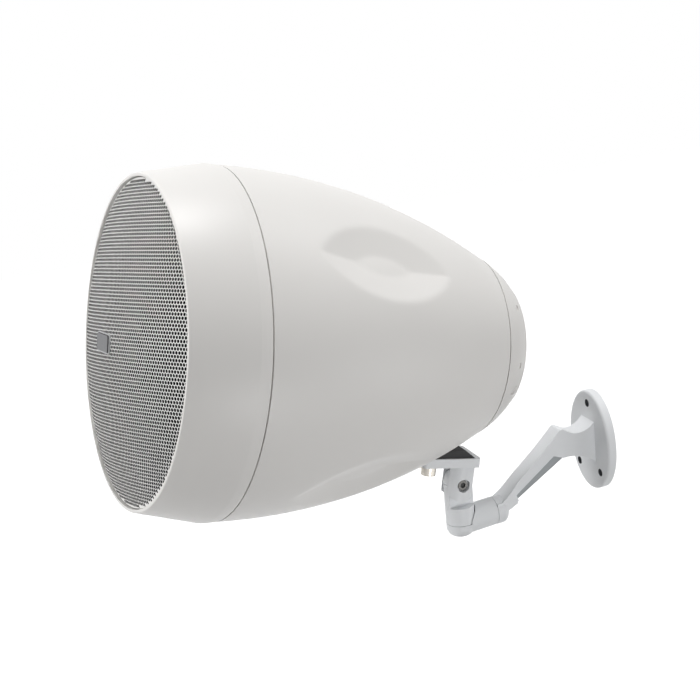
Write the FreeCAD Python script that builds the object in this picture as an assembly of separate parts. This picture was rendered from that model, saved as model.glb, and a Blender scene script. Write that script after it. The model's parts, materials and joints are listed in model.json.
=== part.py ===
import FreeCAD, Part
import math
import os

from FreeCAD import Vector

# Projection speaker on a wall bracket with three friction joints, in millimetres.
# Wall frame: the back of the wall plate lies on y = 0, the room is towards -Y and +Z is up.
# Speaker frame: s runs along the speaker's axis towards the grille, r is the distance from that axis,
# u is the height above it, and s = 0 is the seam between the front bezel and the shell.

# Pose at rest
TILT_UP = 12.3
GRILLE_ROLL = 12.5

# Rear shell
SEAM_R = 112.5
SHELL_LENGTH = 184.3
SHELL_MID_DROP = 13.55
SHELL_REAR_R = 60.1
SHELL_WALL = 3.5
REAR_FLANGE = 3.2
REAR_LIP = 14.1
LEDGE_DEPTH = 14.5
LEDGE_THICK = 4.0
LEDGE_W = 10.6

# Dimples in the shell, cut by a disc with a V-shaped edge
DIMPLE_ANGLES = (45.0, 135.0, 225.0, 315.0)
DIMPLE_FORWARD = 6.15
DIMPLE_HALF_LENGTH = 50.0
DIMPLE_DEPTH = 8.4
DIMPLE_FLOOR = 6.8
DIMPLE_SLOPE = 10.5
DIMPLE_CUTTER_HALF_W = 45.0
DIMPLE_CUTTER_RIM = 60.0

# Front bezel
BEZEL_LENGTH = 49.5
BEZEL_BULGE_S = 8.0
BEZEL_BULGE = 0.5
BEZEL_CROWN = 0.15
BEZEL_TAPER = 7.1
BEZEL_WALL = 3.0
RIM_ROUND = 1.0
RIM_FACE = 2.2
GRILLE_SEAT_S = 43.5
GRILLE_SEAT_W = 4.7
GRILLE_SEAT_THICK = 2.5
SPIGOT_CLEAR = 0.3
SPIGOT_WALL = 11.0
SPIGOT_FLANGE = 4.0

# Grille, cloth and badge
GRILLE_CLEAR = 0.3
GRILLE_EDGE_S = 47.6
GRILLE_RISE = 20.0
GRILLE_SHEET = 1.2
SCRIM_SHEET = 0.8
BADGE_LENGTH = 24.0
BADGE_HEIGHT = 12.5
BADGE_RAISE = 1.6
BADGE_FRAME = 1.3
BADGE_SUNK = 0.5
BADGE_CORNER = 1.2

# Baffle, gasket and their screws
GASKET_THICK = 1.5
BAFFLE_THICK = 6.0
BAFFLE_HOLE_R = 71.0
BEZEL_SCREW_COUNT = 6
BEZEL_SCREW_INSET = 6.6
BOSS_LENGTH = 12.0
BOSS_R = 4.6

# Full-range driver
DRIVER_R = 82.0
DRIVER_FLANGE = 3.0
DRIVER_DEPTH = 40.0
DRIVER_LANDING_R = 42.0
DRIVER_SHEET = 1.6
DRIVER_CLEAR = 1.0
DRIVER_SPOKES = 4
DRIVER_SPOKE_W = 22.0
DRIVER_WINDOW_EDGE = 5.0
DRIVER_SCREW_CIRCLE = 76.5
DRIVER_SCREW_START = 45.0
SURROUND_IN_R = 58.0
SURROUND_OUT_R = 70.0
SURROUND_ROLL = 5.0
PAPER = 0.9
CONE_DEPTH = 30.0
COIL_R = 13.0
COIL_WALL = 0.6
COIL_LENGTH = 24.0
WHIZZER_R = 30.0
WHIZZER_DEPTH = 12.0
DUST_CAP_RISE = 5.2
SPIDER_RISE = 4.0
SPIDER_EDGE_R = 37.2
POLE_R = 12.0
GAP_R = 14.2
TOP_PLATE_R = 40.0
TOP_PLATE_THICK = 5.0
MAGNET_R = 45.0
MAGNET_HOLE_R = 18.0
MAGNET_THICK = 15.0
YOKE_THICK = 5.0

# Rear cap, gland and what is fixed to the cap
CAP_DEPTH = 19.0
CAP_EDGE_R = 45.0
CAP_BULGE = 1.4
CAP_ROUND = 4.0
CAP_WALL = 3.0
CAP_GAP = 0.5
CAP_SCREW_INSET = 9.1
CAP_SCREW_COUNT = 4
CAP_SCREW_START = 20.0
CAP_PILLAR_WALL = 2.0
CAP_NOTCH_ANGLES = (47.0, 90.0, 270.0, 313.0)
CAP_NOTCH_W = 4.0
CAP_NOTCH_DEPTH = 2.0
CAP_NOTCH_S = 11.5
CAP_NOTCH_R = 50.0
GLAND_U = -26.0
GLAND_THREAD_R = 6.0
GLAND_BORE_R = 3.0
GLAND_HEX = 17.0
GLAND_FLANGE = 4.0
GLAND_LENGTH = 11.0
GLAND_STEP = 1.0
GLAND_NUT_THICK = 4.0
CORE_WIDTH = 41.0
CORE_HEIGHT = 34.0
CORE_STACK = 14.0
CORE_LEG = 7.0
CORE_U = 17.0
CORE_STANDOFF = 1.5
COIL_SIDE = 9.0
CLIP_SHEET = 1.5
CLIP_WING = 9.0
CLIP_WIDTH = 12.0
CLIP_SCREW_BITE = 1.8
TERMINAL_LENGTH = 30.0
TERMINAL_HEIGHT = 11.0
TERMINAL_DEPTH = 12.0
TERMINAL_U = -7.5
TERMINAL_WAYS = 3
TERMINAL_WIRE_R = 2.5
TERMINAL_WIRE_S = 4.8
TERMINAL_WELL_R = 2.8

# Saddle pad and screws between shell and bracket head
MOUNT_INSET = 21.8
MOUNT_X = 9.0
SADDLE_MIN = 3.4
SADDLE_HALF_W = 13.5
SADDLE_CREST = 5.2
SADDLE_FLAT_TAIL = 2.6
SADDLE_TAIL = 10.2
SADDLE_FIT = 0.1
INSERT_R = 4.2
INSERT_LENGTH = 12.0
INSERT_SUNK = 3.6
MOUNT_BOSS_R = 7.0
MOUNT_BOSS_END = 3.0

# Bracket head
HEAD_HALF_W = 15.0
HEAD_THICK = 6.4
HEAD_FRONT = 6.5
HEAD_REAR = 4.2
HEAD_CORNER = 3.0
PIVOT_SETBACK = 28.0
PIVOT_DROP = 14.6
EAR_R = 10.5
EAR_ROUND_R = 11.6
EAR_SLOT = 9.7
PIVOT_COUNTERBORE = 4.2
PIVOT_RECESS_R = 4.6

# Post and its tongue
POST_Y = -110.0
POST_R = 10.0
POST_FOOT_Z = -35.0
POST_SHOULDER_Z = -22.5
PIVOT_Z = -5.6
TONGUE = 8.0
TONGUE_TOP_R = 9.0
WASHER_R = 8.0

# Elbow
LEG_Z = -33.5
LEG_R = 9.75
LEG_END_Y = -85.0
DISH_R = 10.0
DISH_DEPTH = 9.8
DISH_ROUND = 7.0
PAN_RECESS = 0.8
SWIVEL_RECESS = 1.0
POST_CLEAR = 0.8
JOINT_GAP = 0.3
RUN_FIT = 0.05

# Wall arm
COLLAR_LENGTH = 9.5
COLLAR_ROUND = 5.0
ARM_HALF_W = 6.4
ARM_FOOT_HALF_W = 8.2
NECK_HALF_W = 9.2
ARM_TOP_FOOT = (-81.0, -26.5)
ARM_TOP_MID = (-52.0, -4.6)
ARM_TOP_CREST = (-30.0, 15.6)
CREST_ROUND = 3.0
SADDLE_LOW = (-19.5, 11.3)
NECK_TOP_Z = 17.0
NECK_BOTTOM_Z = -12.5
NECK_UNDER_MID = (-18.5, -6.0)
ARM_UNDER_TOP = (-30.6, -5.1)
ARM_UNDER_BEND = (-65.0, -28.6)
ARM_UNDER_FOOT = (-76.5, -33.6)
POCKET_TOP = (-41.5, -0.8)
POCKET_MID = (-37.0, -2.4)
POCKET_FOOT = (-67.5, -22.5)
POCKET_FOOT_MID = (-67.0, -26.0)
POCKET_FOOT_VIA = (-69.3, -26.2)
POCKET_END = (-66.0, -30.5)
POCKET_CORNER = (-28.0, -6.2)
POCKET_SHALLOW = 1.6
POCKET_DEEP = 5.0

# Wall plate
PLATE_HALF_W = 26.8
PLATE_HALF_H = 35.0
PLATE_THICK = 6.6
PLATE_EDGE = 2.0
WALL_HOLE_R = 2.75
TOP_HOLE_Z = 28.5
LOW_HOLE_Z = -19.1
LOW_HOLE_X = 14.25

# Screws: shank radius, head radius, head height, width of the hexagon socket
M3 = (1.5, 2.75, 3.0, 2.5)
M4 = (2.0, 3.5, 4.0, 3.0)
M5 = (2.5, 4.25, 5.0, 4.0)
M4_LOW = (2.0, 3.5, 2.2, 3.4)
M6 = (3.0, 5.0, 6.0, 5.0)
SOCKET_SHARE = 0.55
HOLE_FIT = 0.1
HEAD_FIT = 0.4
END_ROOM = 1.0
NUT_M4_FLATS = 7.0
NUT_M4_THICK = 2.2

# Directions, and the tolerances that pick edges by direction and by place
ORIGIN = Vector(0, 0, 0)
ACROSS = Vector(1, 0, 0)
AXIS = Vector(0, 1, 0)
UP = Vector(0, 0, 1)
ALIGNED = math.cos(math.radians(8))
TINY = 1e-6
DIAGONAL = math.sqrt(0.5)

# Values that follow from the sizes above


def arc_through(first, via, last):
    """Centre (s, r) and radius of the circle through three profile points."""
    circle = Part.Arc(*(Vector(s, r, 0) for s, r in (first, via, last))).toShape().Curve
    return circle.Center.x, circle.Center.y, circle.Radius


SHELL_MID_R = SEAM_R - SHELL_MID_DROP
SHELL_ARC_S, SHELL_ARC_R, SHELL_ARC_RADIUS = arc_through(
    (0, SEAM_R), (-SHELL_LENGTH / 2, SHELL_MID_R), (-SHELL_LENGTH, SHELL_REAR_R))


def shell_radius(s, inset=0.0):
    """Radius of the shell's surface at s, or of a surface that lies inset below it."""
    return SHELL_ARC_R + math.sqrt((SHELL_ARC_RADIUS - inset) ** 2 - (s - SHELL_ARC_S) ** 2)


DIMPLE_S = DIMPLE_FORWARD - SHELL_LENGTH / 2
BEZEL_BULGE_R = SEAM_R + BEZEL_BULGE
BEZEL_FRONT_R = SEAM_R - BEZEL_TAPER
LIP_R = BEZEL_FRONT_R - RIM_FACE
GRILLE_SEAT_R = LIP_R - GRILLE_SEAT_W
MOUNT_S = MOUNT_INSET - SHELL_LENGTH
SADDLE_FLAT_S = -SHELL_LENGTH - SADDLE_FLAT_TAIL
SADDLE_REAR_S = -SHELL_LENGTH - SADDLE_TAIL
HEAD_TOP_U = -(shell_radius(MOUNT_S) + SADDLE_MIN)
HEAD_BOTTOM_U = HEAD_TOP_U - HEAD_THICK
PIVOT_S = MOUNT_S - PIVOT_SETBACK
PIVOT_U = HEAD_BOTTOM_U - PIVOT_DROP
LEDGE_S = -LEDGE_DEPTH + LEDGE_THICK
BAFFLE_BACK_S = LEDGE_S + GASKET_THICK
BAFFLE_FRONT_S = BAFFLE_BACK_S + BAFFLE_THICK
SPIGOT_R = shell_radius(LEDGE_S, SHELL_WALL) - SPIGOT_CLEAR
LEDGE_R = SPIGOT_R - LEDGE_W
BEZEL_SCREW_CIRCLE = SPIGOT_R - BEZEL_SCREW_INSET
REAR_OPENING_R = SHELL_REAR_R - REAR_LIP
CAP_SEAM_S = -SHELL_LENGTH - CAP_GAP
CAP_SCREW_CIRCLE = SHELL_REAR_R - CAP_SCREW_INSET
CAP_BACK_S = CAP_SEAM_S - CAP_DEPTH - CAP_ROUND / 2
CAP_FLOOR_S = CAP_BACK_S + CAP_WALL
CORE_BACK_S = CAP_FLOOR_S + CORE_STANDOFF
GRILLE_R = LIP_R - GRILLE_CLEAR
DOME_RADIUS = (GRILLE_R ** 2 + GRILLE_RISE ** 2) / (2 * GRILLE_RISE)
DOME_CENTRE_S = GRILLE_EDGE_S + GRILLE_RISE - DOME_RADIUS
FLANGE_S = BAFFLE_FRONT_S + DRIVER_FLANGE
LANDING_S = BAFFLE_FRONT_S - DRIVER_DEPTH
TOP_PLATE_S = LANDING_S - DRIVER_SHEET
MAGNET_S = TOP_PLATE_S - TOP_PLATE_THICK
YOKE_S = MAGNET_S - MAGNET_THICK
COLLAR_Y = LEG_END_Y + JOINT_GAP
DISH_SEAT_Z = POST_FOOT_Z - JOINT_GAP
DISH_FLOOR_Z = DISH_SEAT_Z - DISH_DEPTH
PAN_SEAT_Z = DISH_FLOOR_Z + M5[2] + PAN_RECESS
SWIVEL_SEAT_Y = POST_Y + POST_R + POST_CLEAR + M5[2] + SWIVEL_RECESS


def on_axis(s, r):
    """Profile point of a turned piece, in the speaker frame."""
    return Vector(0, -s, r)


def on_side(y, z):
    """Point of a side view of the bracket, in the wall frame."""
    return Vector(0, y, z)


def on_plan(x, y):
    """Point of a view from above, in the wall frame."""
    return Vector(x, y, 0)


def outline(lift, start, *steps):
    """Closed face through 2-D points; a step that is a pair of points is an arc (via, end)."""
    edges = []
    here = start
    for step in steps:
        if isinstance(step[0], tuple):
            via, end = step
            edges.append(Part.Arc(lift(*here), lift(*via), lift(*end)).toShape())
        else:
            end = step
            edges.append(Part.LineSegment(lift(*here), lift(*end)).toShape())
        here = end
    edges.append(Part.LineSegment(lift(*here), lift(*start)).toShape())
    return Part.Face(Part.Wire(edges))


def turned(start, *steps):
    """Solid of revolution about the speaker's axis from an (s, r) outline."""
    return outline(on_axis, start, *steps).revolve(ORIGIN, AXIS, 360)


def ring(s_back, s_front, r_in, r_out):
    """Plain ring about the speaker's axis."""
    return turned((s_back, r_in), (s_back, r_out), (s_front, r_out), (s_front, r_in))


def rod(s_back, s_front, radius, x=0.0, u=0.0):
    """Cylinder along the speaker's axis direction, at x and u."""
    return Part.makeCylinder(radius, s_front - s_back, Vector(x, -s_back, u), -AXIS)


def hexagon(flats, length, base, direction):
    """Hexagonal prism of the given width over flats."""
    corner = flats / math.sqrt(3)
    turns = [math.radians(60 * step) for step in range(7)]
    wire = Part.makePolygon([Vector(corner * math.cos(a), corner * math.sin(a), 0) for a in turns])
    prism = Part.Face(wire).extrude(Vector(0, 0, length))
    prism.Placement = FreeCAD.Placement(base, FreeCAD.Rotation(Vector(0, 0, 1), direction))
    return prism


def cap_screw(size, length, seat, inward):
    """Socket-head screw whose head rests on seat and whose shank runs inward."""
    shank_r, head_r, head_h, socket = size
    inward = Vector(inward).normalize()
    shank = Part.makeCylinder(shank_r, length, seat, inward)
    head = Part.makeCylinder(head_r, head_h, seat, inward * -1)
    top = seat - inward * head_h
    return shank.fuse(head).cut(hexagon(socket, head_h * SOCKET_SHARE, top, inward)).removeSplitter()


def screw_hole(size, length, seat, inward):
    """Clearance for a cap screw: shank hole below the seat and head room above it."""
    shank_r, head_r, head_h, _ = size
    inward = Vector(inward).normalize()
    shank = Part.makeCylinder(shank_r + HOLE_FIT, length, seat, inward)
    return shank.fuse(Part.makeCylinder(head_r + HEAD_FIT, head_h * 2, seat, inward * -1))


def around(circle_r, count, s, start=0.0):
    """Points evenly spaced on a circle about the axis."""
    angles = [math.radians(start + 360 * step / count) for step in range(count)]
    return [Vector(circle_r * math.sin(a), -s, circle_r * math.cos(a)) for a in angles]


def turned_about_axis(shape, degrees):
    """Copy of a shape turned about the speaker's axis, from up towards +X."""
    copy = shape.copy()
    copy.rotate(ORIGIN, AXIS, degrees)
    return copy


def to_wall(shape):
    """Move a shape from the speaker frame to its place on the bracket's tilt pivot."""
    placed = shape.copy()
    placed.translate(Vector(0, PIVOT_S, -PIVOT_U))
    placed.rotate(ORIGIN, ACROSS, -TILT_UP)
    placed.translate(Vector(0, POST_Y, PIVOT_Z))
    return placed


def edges_along(shape, direction):
    """Straight edges of a shape that run in a direction."""
    return [edge for edge in shape.Edges if abs(edge.tangentAt(0).dot(direction)) > ALIGNED]


# Shell and dimples

def shell_body(inset, s_back):
    """Solid under the shell's surface, sunk by inset, from the seam back to s_back."""
    middle = s_back / 2
    arc = ((middle, shell_radius(middle, inset)), (s_back, shell_radius(s_back, inset)))
    return turned((0, 0), (0, shell_radius(0, inset)), arc, (s_back, 0))


def dimple_cutter(angle, grow):
    """Boat-shaped cutter: a disc with a V edge, stopped by a floor that follows the shell."""
    sweep = 1 / (2 * DIMPLE_DEPTH / DIMPLE_HALF_LENGTH ** 2 - 1 / SHELL_ARC_RADIUS)
    surface_r = shell_radius(DIMPLE_S)
    normal_s = (DIMPLE_S - SHELL_ARC_S) / SHELL_ARC_RADIUS
    normal_r = (surface_r - SHELL_ARC_R) / SHELL_ARC_RADIUS
    centre_s = DIMPLE_S + normal_s * (sweep - DIMPLE_DEPTH)
    centre_r = surface_r + normal_r * (sweep - DIMPLE_DEPTH)
    centre = on_axis(centre_s, centre_r)
    tip = sweep + grow
    side = tip - DIMPLE_CUTTER_HALF_W * math.tan(math.radians(DIMPLE_SLOPE))
    hub = tip - DIMPLE_CUTTER_RIM
    edge = outline(
        lambda x, reach: centre - Vector(0, 0, reach) + Vector(x, 0, 0),
        (-DIMPLE_CUTTER_HALF_W, hub), (-DIMPLE_CUTTER_HALF_W, side), (0, tip),
        (DIMPLE_CUTTER_HALF_W, side), (DIMPLE_CUTTER_HALF_W, hub))
    disc = edge.revolve(centre, ACROSS, 360)
    floor = shell_body(DIMPLE_FLOOR + grow, -SHELL_LENGTH)
    return turned_about_axis(disc.cut(floor), angle)


def rear_shell():
    outer = shell_body(0, -SHELL_LENGTH)
    cavity = shell_body(SHELL_WALL, REAR_FLANGE - SHELL_LENGTH)
    for angle in DIMPLE_ANGLES:
        outer = outer.cut(dimple_cutter(angle, 0))
        cavity = cavity.cut(dimple_cutter(angle, SHELL_WALL))
    ledge = ring(LEDGE_S - LEDGE_THICK, LEDGE_S, LEDGE_R, shell_radius(LEDGE_S))
    cavity = cavity.cut(ledge)
    for point in around(BEZEL_SCREW_CIRCLE, BEZEL_SCREW_COUNT, LEDGE_S - LEDGE_THICK):
        cavity = cavity.cut(Part.makeCylinder(BOSS_R, BOSS_LENGTH, point, AXIS))
    for foot in mount_points(HEAD_TOP_U):
        height = SADDLE_MIN + INSERT_SUNK + INSERT_LENGTH + MOUNT_BOSS_END
        cavity = cavity.cut(Part.makeCylinder(MOUNT_BOSS_R, height, foot, UP))
    body = outer.cut(cavity).cut(rod(-SHELL_LENGTH, REAR_FLANGE - SHELL_LENGTH, REAR_OPENING_R))
    for point in around(BEZEL_SCREW_CIRCLE, BEZEL_SCREW_COUNT, LEDGE_S):
        body = body.cut(Part.makeCylinder(M4[0] + HOLE_FIT, LEDGE_THICK + BOSS_LENGTH, point, AXIS))
    for point in around(CAP_SCREW_CIRCLE, CAP_SCREW_COUNT, -SHELL_LENGTH, CAP_SCREW_START):
        body = body.cut(Part.makeCylinder(M3[0] + HOLE_FIT, REAR_FLANGE, point, -AXIS))
    for foot in mount_points(HEAD_TOP_U):
        body = body.cut(Part.makeCylinder(INSERT_R, SADDLE_MIN + INSERT_SUNK + INSERT_LENGTH, foot, UP))
    return body


def mount_points(u):
    """Where the two mounting screws cross the height u."""
    return [Vector(x, -MOUNT_S, u) for x in (-MOUNT_X, MOUNT_X)]


def mount_inserts():
    solids = []
    for foot in mount_points(HEAD_TOP_U + SADDLE_MIN + INSERT_SUNK):
        sleeve = Part.makeCylinder(INSERT_R, INSERT_LENGTH, foot, UP)
        solids.append(sleeve.cut(Part.makeCylinder(M6[0] + HOLE_FIT, INSERT_LENGTH, foot, UP)))
    return Part.makeCompound(solids)


# Front bezel, grille and badge

def front_bezel():
    spigot_in = SPIGOT_R - SPIGOT_WALL
    back_s = BAFFLE_FRONT_S
    bulge_via = (BEZEL_BULGE_S / 2, (SEAM_R + BEZEL_BULGE_R) / 2 + BEZEL_CROWN)
    bulge = (bulge_via, (BEZEL_BULGE_S, BEZEL_BULGE_R))
    rim_out = (BEZEL_LENGTH - RIM_ROUND, BEZEL_FRONT_R)
    rim_cut = RIM_ROUND * (1 - DIAGONAL)
    rim_via = (BEZEL_LENGTH - rim_cut, BEZEL_FRONT_R - rim_cut)
    rim_end = (BEZEL_LENGTH, BEZEL_FRONT_R - RIM_ROUND)
    wall_front = (GRILLE_SEAT_S - GRILLE_SEAT_THICK, BEZEL_FRONT_R - BEZEL_WALL)
    return turned(
        (back_s, spigot_in), (back_s, SPIGOT_R), (0, SPIGOT_R), (0, SEAM_R), bulge,
        rim_out, (rim_via, rim_end), (BEZEL_LENGTH, LIP_R), (GRILLE_SEAT_S, LIP_R),
        (GRILLE_SEAT_S, GRILLE_SEAT_R), (GRILLE_SEAT_S - GRILLE_SEAT_THICK, GRILLE_SEAT_R), wall_front,
        (BEZEL_BULGE_S, BEZEL_BULGE_R - BEZEL_WALL), (back_s + SPIGOT_FLANGE, SPIGOT_R - BEZEL_WALL),
        (back_s + SPIGOT_FLANGE, spigot_in)).cut(bezel_screw_holes())


def bezel_screw_seats():
    return around(BEZEL_SCREW_CIRCLE, BEZEL_SCREW_COUNT, BAFFLE_FRONT_S + SPIGOT_FLANGE)


def bezel_screw_length():
    return SPIGOT_FLANGE + BAFFLE_THICK + GASKET_THICK + LEDGE_THICK + BOSS_LENGTH - END_ROOM


def bezel_screws():
    length = bezel_screw_length()
    return Part.makeCompound([cap_screw(M4, length, seat, AXIS) for seat in bezel_screw_seats()])


def bezel_screw_holes():
    radius = M4[0] + HOLE_FIT
    length = bezel_screw_length()
    return Part.makeCompound([Part.makeCylinder(radius, length, seat, AXIS) for seat in bezel_screw_seats()])


def dome_point(radius_change, r):
    """Point of a dome that lies radius_change outside the grille's inner face, at radius r."""
    radius = DOME_RADIUS + radius_change
    return (DOME_CENTRE_S + math.sqrt(radius ** 2 - r ** 2), r)


def dome_sheet(inner, outer, edge_r, hem_s):
    """Domed sheet between two offsets of the grille's face, with a hem that runs back to hem_s."""
    hem_in = edge_r - (outer - inner)
    return turned(
        dome_point(outer, 0), (dome_point(outer, edge_r / 2), dome_point(outer, edge_r)), (hem_s, edge_r),
        (hem_s, hem_in), dome_point(inner, hem_in), (dome_point(inner, hem_in / 2), dome_point(inner, 0)))


def grille():
    return dome_sheet(-GRILLE_SHEET, 0, GRILLE_R, GRILLE_SEAT_S)


def grille_scrim():
    face = -GRILLE_SHEET - GRILLE_CLEAR
    return dome_sheet(face - SCRIM_SHEET, face, GRILLE_R - GRILLE_SHEET - GRILLE_CLEAR, GRILLE_SEAT_S)


def rounded_block(length, height, s_back, s_front, corner):
    """Block across the axis with rounded corners, its length along X."""
    block = Part.makeBox(length, s_front - s_back, height, Vector(-length / 2, -s_front, -height / 2))
    return block.makeFillet(corner, edges_along(block, AXIS))


def badge():
    front_s = GRILLE_EDGE_S + GRILLE_RISE + BADGE_RAISE
    plate = rounded_block(BADGE_LENGTH, BADGE_HEIGHT, GRILLE_EDGE_S, front_s, BADGE_CORNER)
    field = rounded_block(BADGE_LENGTH - 2 * BADGE_FRAME, BADGE_HEIGHT - 2 * BADGE_FRAME,
                          front_s - BADGE_SUNK, front_s + BADGE_SUNK, BADGE_CORNER / 2)
    dome = turned((0, 0), (GRILLE_EDGE_S, 0), dome_point(0, 0),
                  (dome_point(0, GRILLE_R / 2), dome_point(0, GRILLE_R)), (0, GRILLE_R))
    return turned_about_axis(plate.cut(field).cut(dome), -GRILLE_ROLL)


# Baffle and driver

def bezel_gasket():
    return ring(LEDGE_S, BAFFLE_BACK_S, LEDGE_R, SPIGOT_R).cut(bezel_screw_holes())


def driver_screw_seats():
    return around(DRIVER_SCREW_CIRCLE, DRIVER_SPOKES, FLANGE_S, DRIVER_SCREW_START)


def baffle():
    body = ring(BAFFLE_BACK_S, BAFFLE_FRONT_S, BAFFLE_HOLE_R, SPIGOT_R).cut(bezel_screw_holes())
    for seat in driver_screw_seats():
        body = body.cut(screw_hole(M4, DRIVER_FLANGE + BAFFLE_THICK, seat, AXIS))
    return body


def driver_basket():
    """Pressed frame: flange on the baffle, four spokes with open windows, landing on the top plate."""
    throat_r = BAFFLE_HOLE_R - DRIVER_CLEAR
    mouth_r = throat_r - DRIVER_SHEET
    body = turned(
        (BAFFLE_FRONT_S, throat_r), (BAFFLE_FRONT_S, DRIVER_R), (FLANGE_S, DRIVER_R), (FLANGE_S, mouth_r),
        (BAFFLE_FRONT_S, mouth_r), (LANDING_S, DRIVER_LANDING_R - DRIVER_SHEET),
        (LANDING_S, GAP_R), (TOP_PLATE_S, GAP_R), (TOP_PLATE_S, DRIVER_LANDING_R))
    window_front = BAFFLE_FRONT_S - DRIVER_WINDOW_EDGE
    window_back = LANDING_S + DRIVER_WINDOW_EDGE
    band = ring(window_back, window_front, DRIVER_LANDING_R - DRIVER_SHEET * 2, DRIVER_R)
    for step in range(DRIVER_SPOKES):
        spoke = Part.makeBox(DRIVER_SPOKE_W, window_front - window_back, DRIVER_R,
                             Vector(-DRIVER_SPOKE_W / 2, -window_front, 0))
        band = band.cut(turned_about_axis(spoke, 360 * step / DRIVER_SPOKES))
    body = body.cut(band)
    for seat in driver_screw_seats():
        body = body.cut(screw_hole(M4, DRIVER_FLANGE, seat, AXIS))
    return body


def driver_screws():
    length = DRIVER_FLANGE + BAFFLE_THICK - END_ROOM
    return Part.makeCompound([cap_screw(M4, length, seat, AXIS) for seat in driver_screw_seats()])


def driver_surround():
    middle = (SURROUND_IN_R + SURROUND_OUT_R) / 2
    rim_r = (DRIVER_SCREW_CIRCLE - M4[1] + SURROUND_OUT_R) / 2
    return turned(
        (FLANGE_S, SURROUND_IN_R),
        ((FLANGE_S + SURROUND_ROLL, middle), (FLANGE_S + PAPER, SURROUND_OUT_R)),
        (FLANGE_S + PAPER, rim_r), (FLANGE_S, rim_r), (FLANGE_S, SURROUND_OUT_R - PAPER),
        ((FLANGE_S + SURROUND_ROLL - PAPER, middle), (FLANGE_S, SURROUND_IN_R + PAPER)))


def driver_cone():
    throat_s = FLANGE_S - CONE_DEPTH
    return turned(
        (FLANGE_S, SURROUND_IN_R), (throat_s, COIL_R + COIL_WALL), (throat_s - PAPER, COIL_R + COIL_WALL),
        (FLANGE_S - PAPER, SURROUND_IN_R + PAPER), (FLANGE_S, SURROUND_IN_R + PAPER))


def voice_coil():
    throat_s = FLANGE_S - CONE_DEPTH
    return ring(throat_s - COIL_LENGTH, throat_s, COIL_R, COIL_R + COIL_WALL)


def whizzer_cone():
    throat_s = FLANGE_S - CONE_DEPTH
    foot_r = COIL_R + COIL_WALL
    return turned(
        (throat_s, COIL_R), (throat_s, foot_r), (throat_s + WHIZZER_DEPTH, WHIZZER_R + PAPER),
        (throat_s + WHIZZER_DEPTH, WHIZZER_R), (throat_s + PAPER, COIL_R))


def cap_point(base, rise, edge_r, r):
    """Point at radius r of a round cap that stands rise above its edge at s = base."""
    radius = (edge_r ** 2 + rise ** 2) / (2 * rise)
    return (base + rise - radius + math.sqrt(radius ** 2 - r ** 2), r)


def dust_cap():
    """Shallow dome over the coil."""
    base = FLANGE_S - CONE_DEPTH + PAPER
    outer = (base, DUST_CAP_RISE, COIL_R)
    inner = (base, DUST_CAP_RISE - PAPER, COIL_R - PAPER)
    return turned(
        cap_point(*outer, COIL_R), (cap_point(*outer, COIL_R / 2), cap_point(*outer, 0)),
        cap_point(*inner, 0), (cap_point(*inner, COIL_R / 2), cap_point(*inner, COIL_R - PAPER)))


def spider():
    """Corrugated disc that centres the coil and is glued to the basket's landing."""
    coil_out = COIL_R + COIL_WALL
    rest, first, second, third, edge = (
        coil_out + (SPIDER_EDGE_R - coil_out) * share for share in (0, 0.25, 0.5, 0.75, 1))
    foot_s = LANDING_S
    top = foot_s + SPIDER_RISE
    return turned(
        (top, rest), (top + PAPER, rest), (foot_s + PAPER * 2, first), (top + PAPER, second),
        (foot_s + PAPER * 2, third), (foot_s + PAPER, edge), (foot_s, edge),
        (foot_s, third), (top, second), (foot_s + PAPER, first))


def driver_top_plate():
    return ring(MAGNET_S, TOP_PLATE_S, GAP_R, TOP_PLATE_R)


def driver_magnet():
    return ring(YOKE_S, MAGNET_S, MAGNET_HOLE_R, MAGNET_R)


def driver_yoke():
    disc = rod(YOKE_S - YOKE_THICK, YOKE_S, TOP_PLATE_R)
    return disc.fuse(rod(YOKE_S, TOP_PLATE_S, POLE_R)).removeSplitter()


# Rear cap and what it carries

def cap_screw_points(s):
    return around(CAP_SCREW_CIRCLE, CAP_SCREW_COUNT, s, CAP_SCREW_START)


def cap_outer(inset):
    """Outside of the cap, or its inside when inset by the wall."""
    seam_s = CAP_SEAM_S
    edge_s = seam_s - CAP_DEPTH
    rim_r = SHELL_REAR_R - inset
    via = (seam_s - CAP_DEPTH / 2, (rim_r + CAP_EDGE_R - inset) / 2 + CAP_BULGE)
    back_s = CAP_BACK_S + inset
    if inset:
        return turned((seam_s, 0), (seam_s, rim_r), (via, (back_s, CAP_EDGE_R - inset)), (back_s, 0))
    corner_via = (back_s + (edge_s - back_s) * (1 - DIAGONAL), CAP_EDGE_R - CAP_ROUND * (1 - DIAGONAL))
    corner = (corner_via, (back_s, CAP_EDGE_R - CAP_ROUND))
    return turned((seam_s, 0), (seam_s, rim_r), (via, (edge_s, CAP_EDGE_R)), corner, (back_s, 0))


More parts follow.
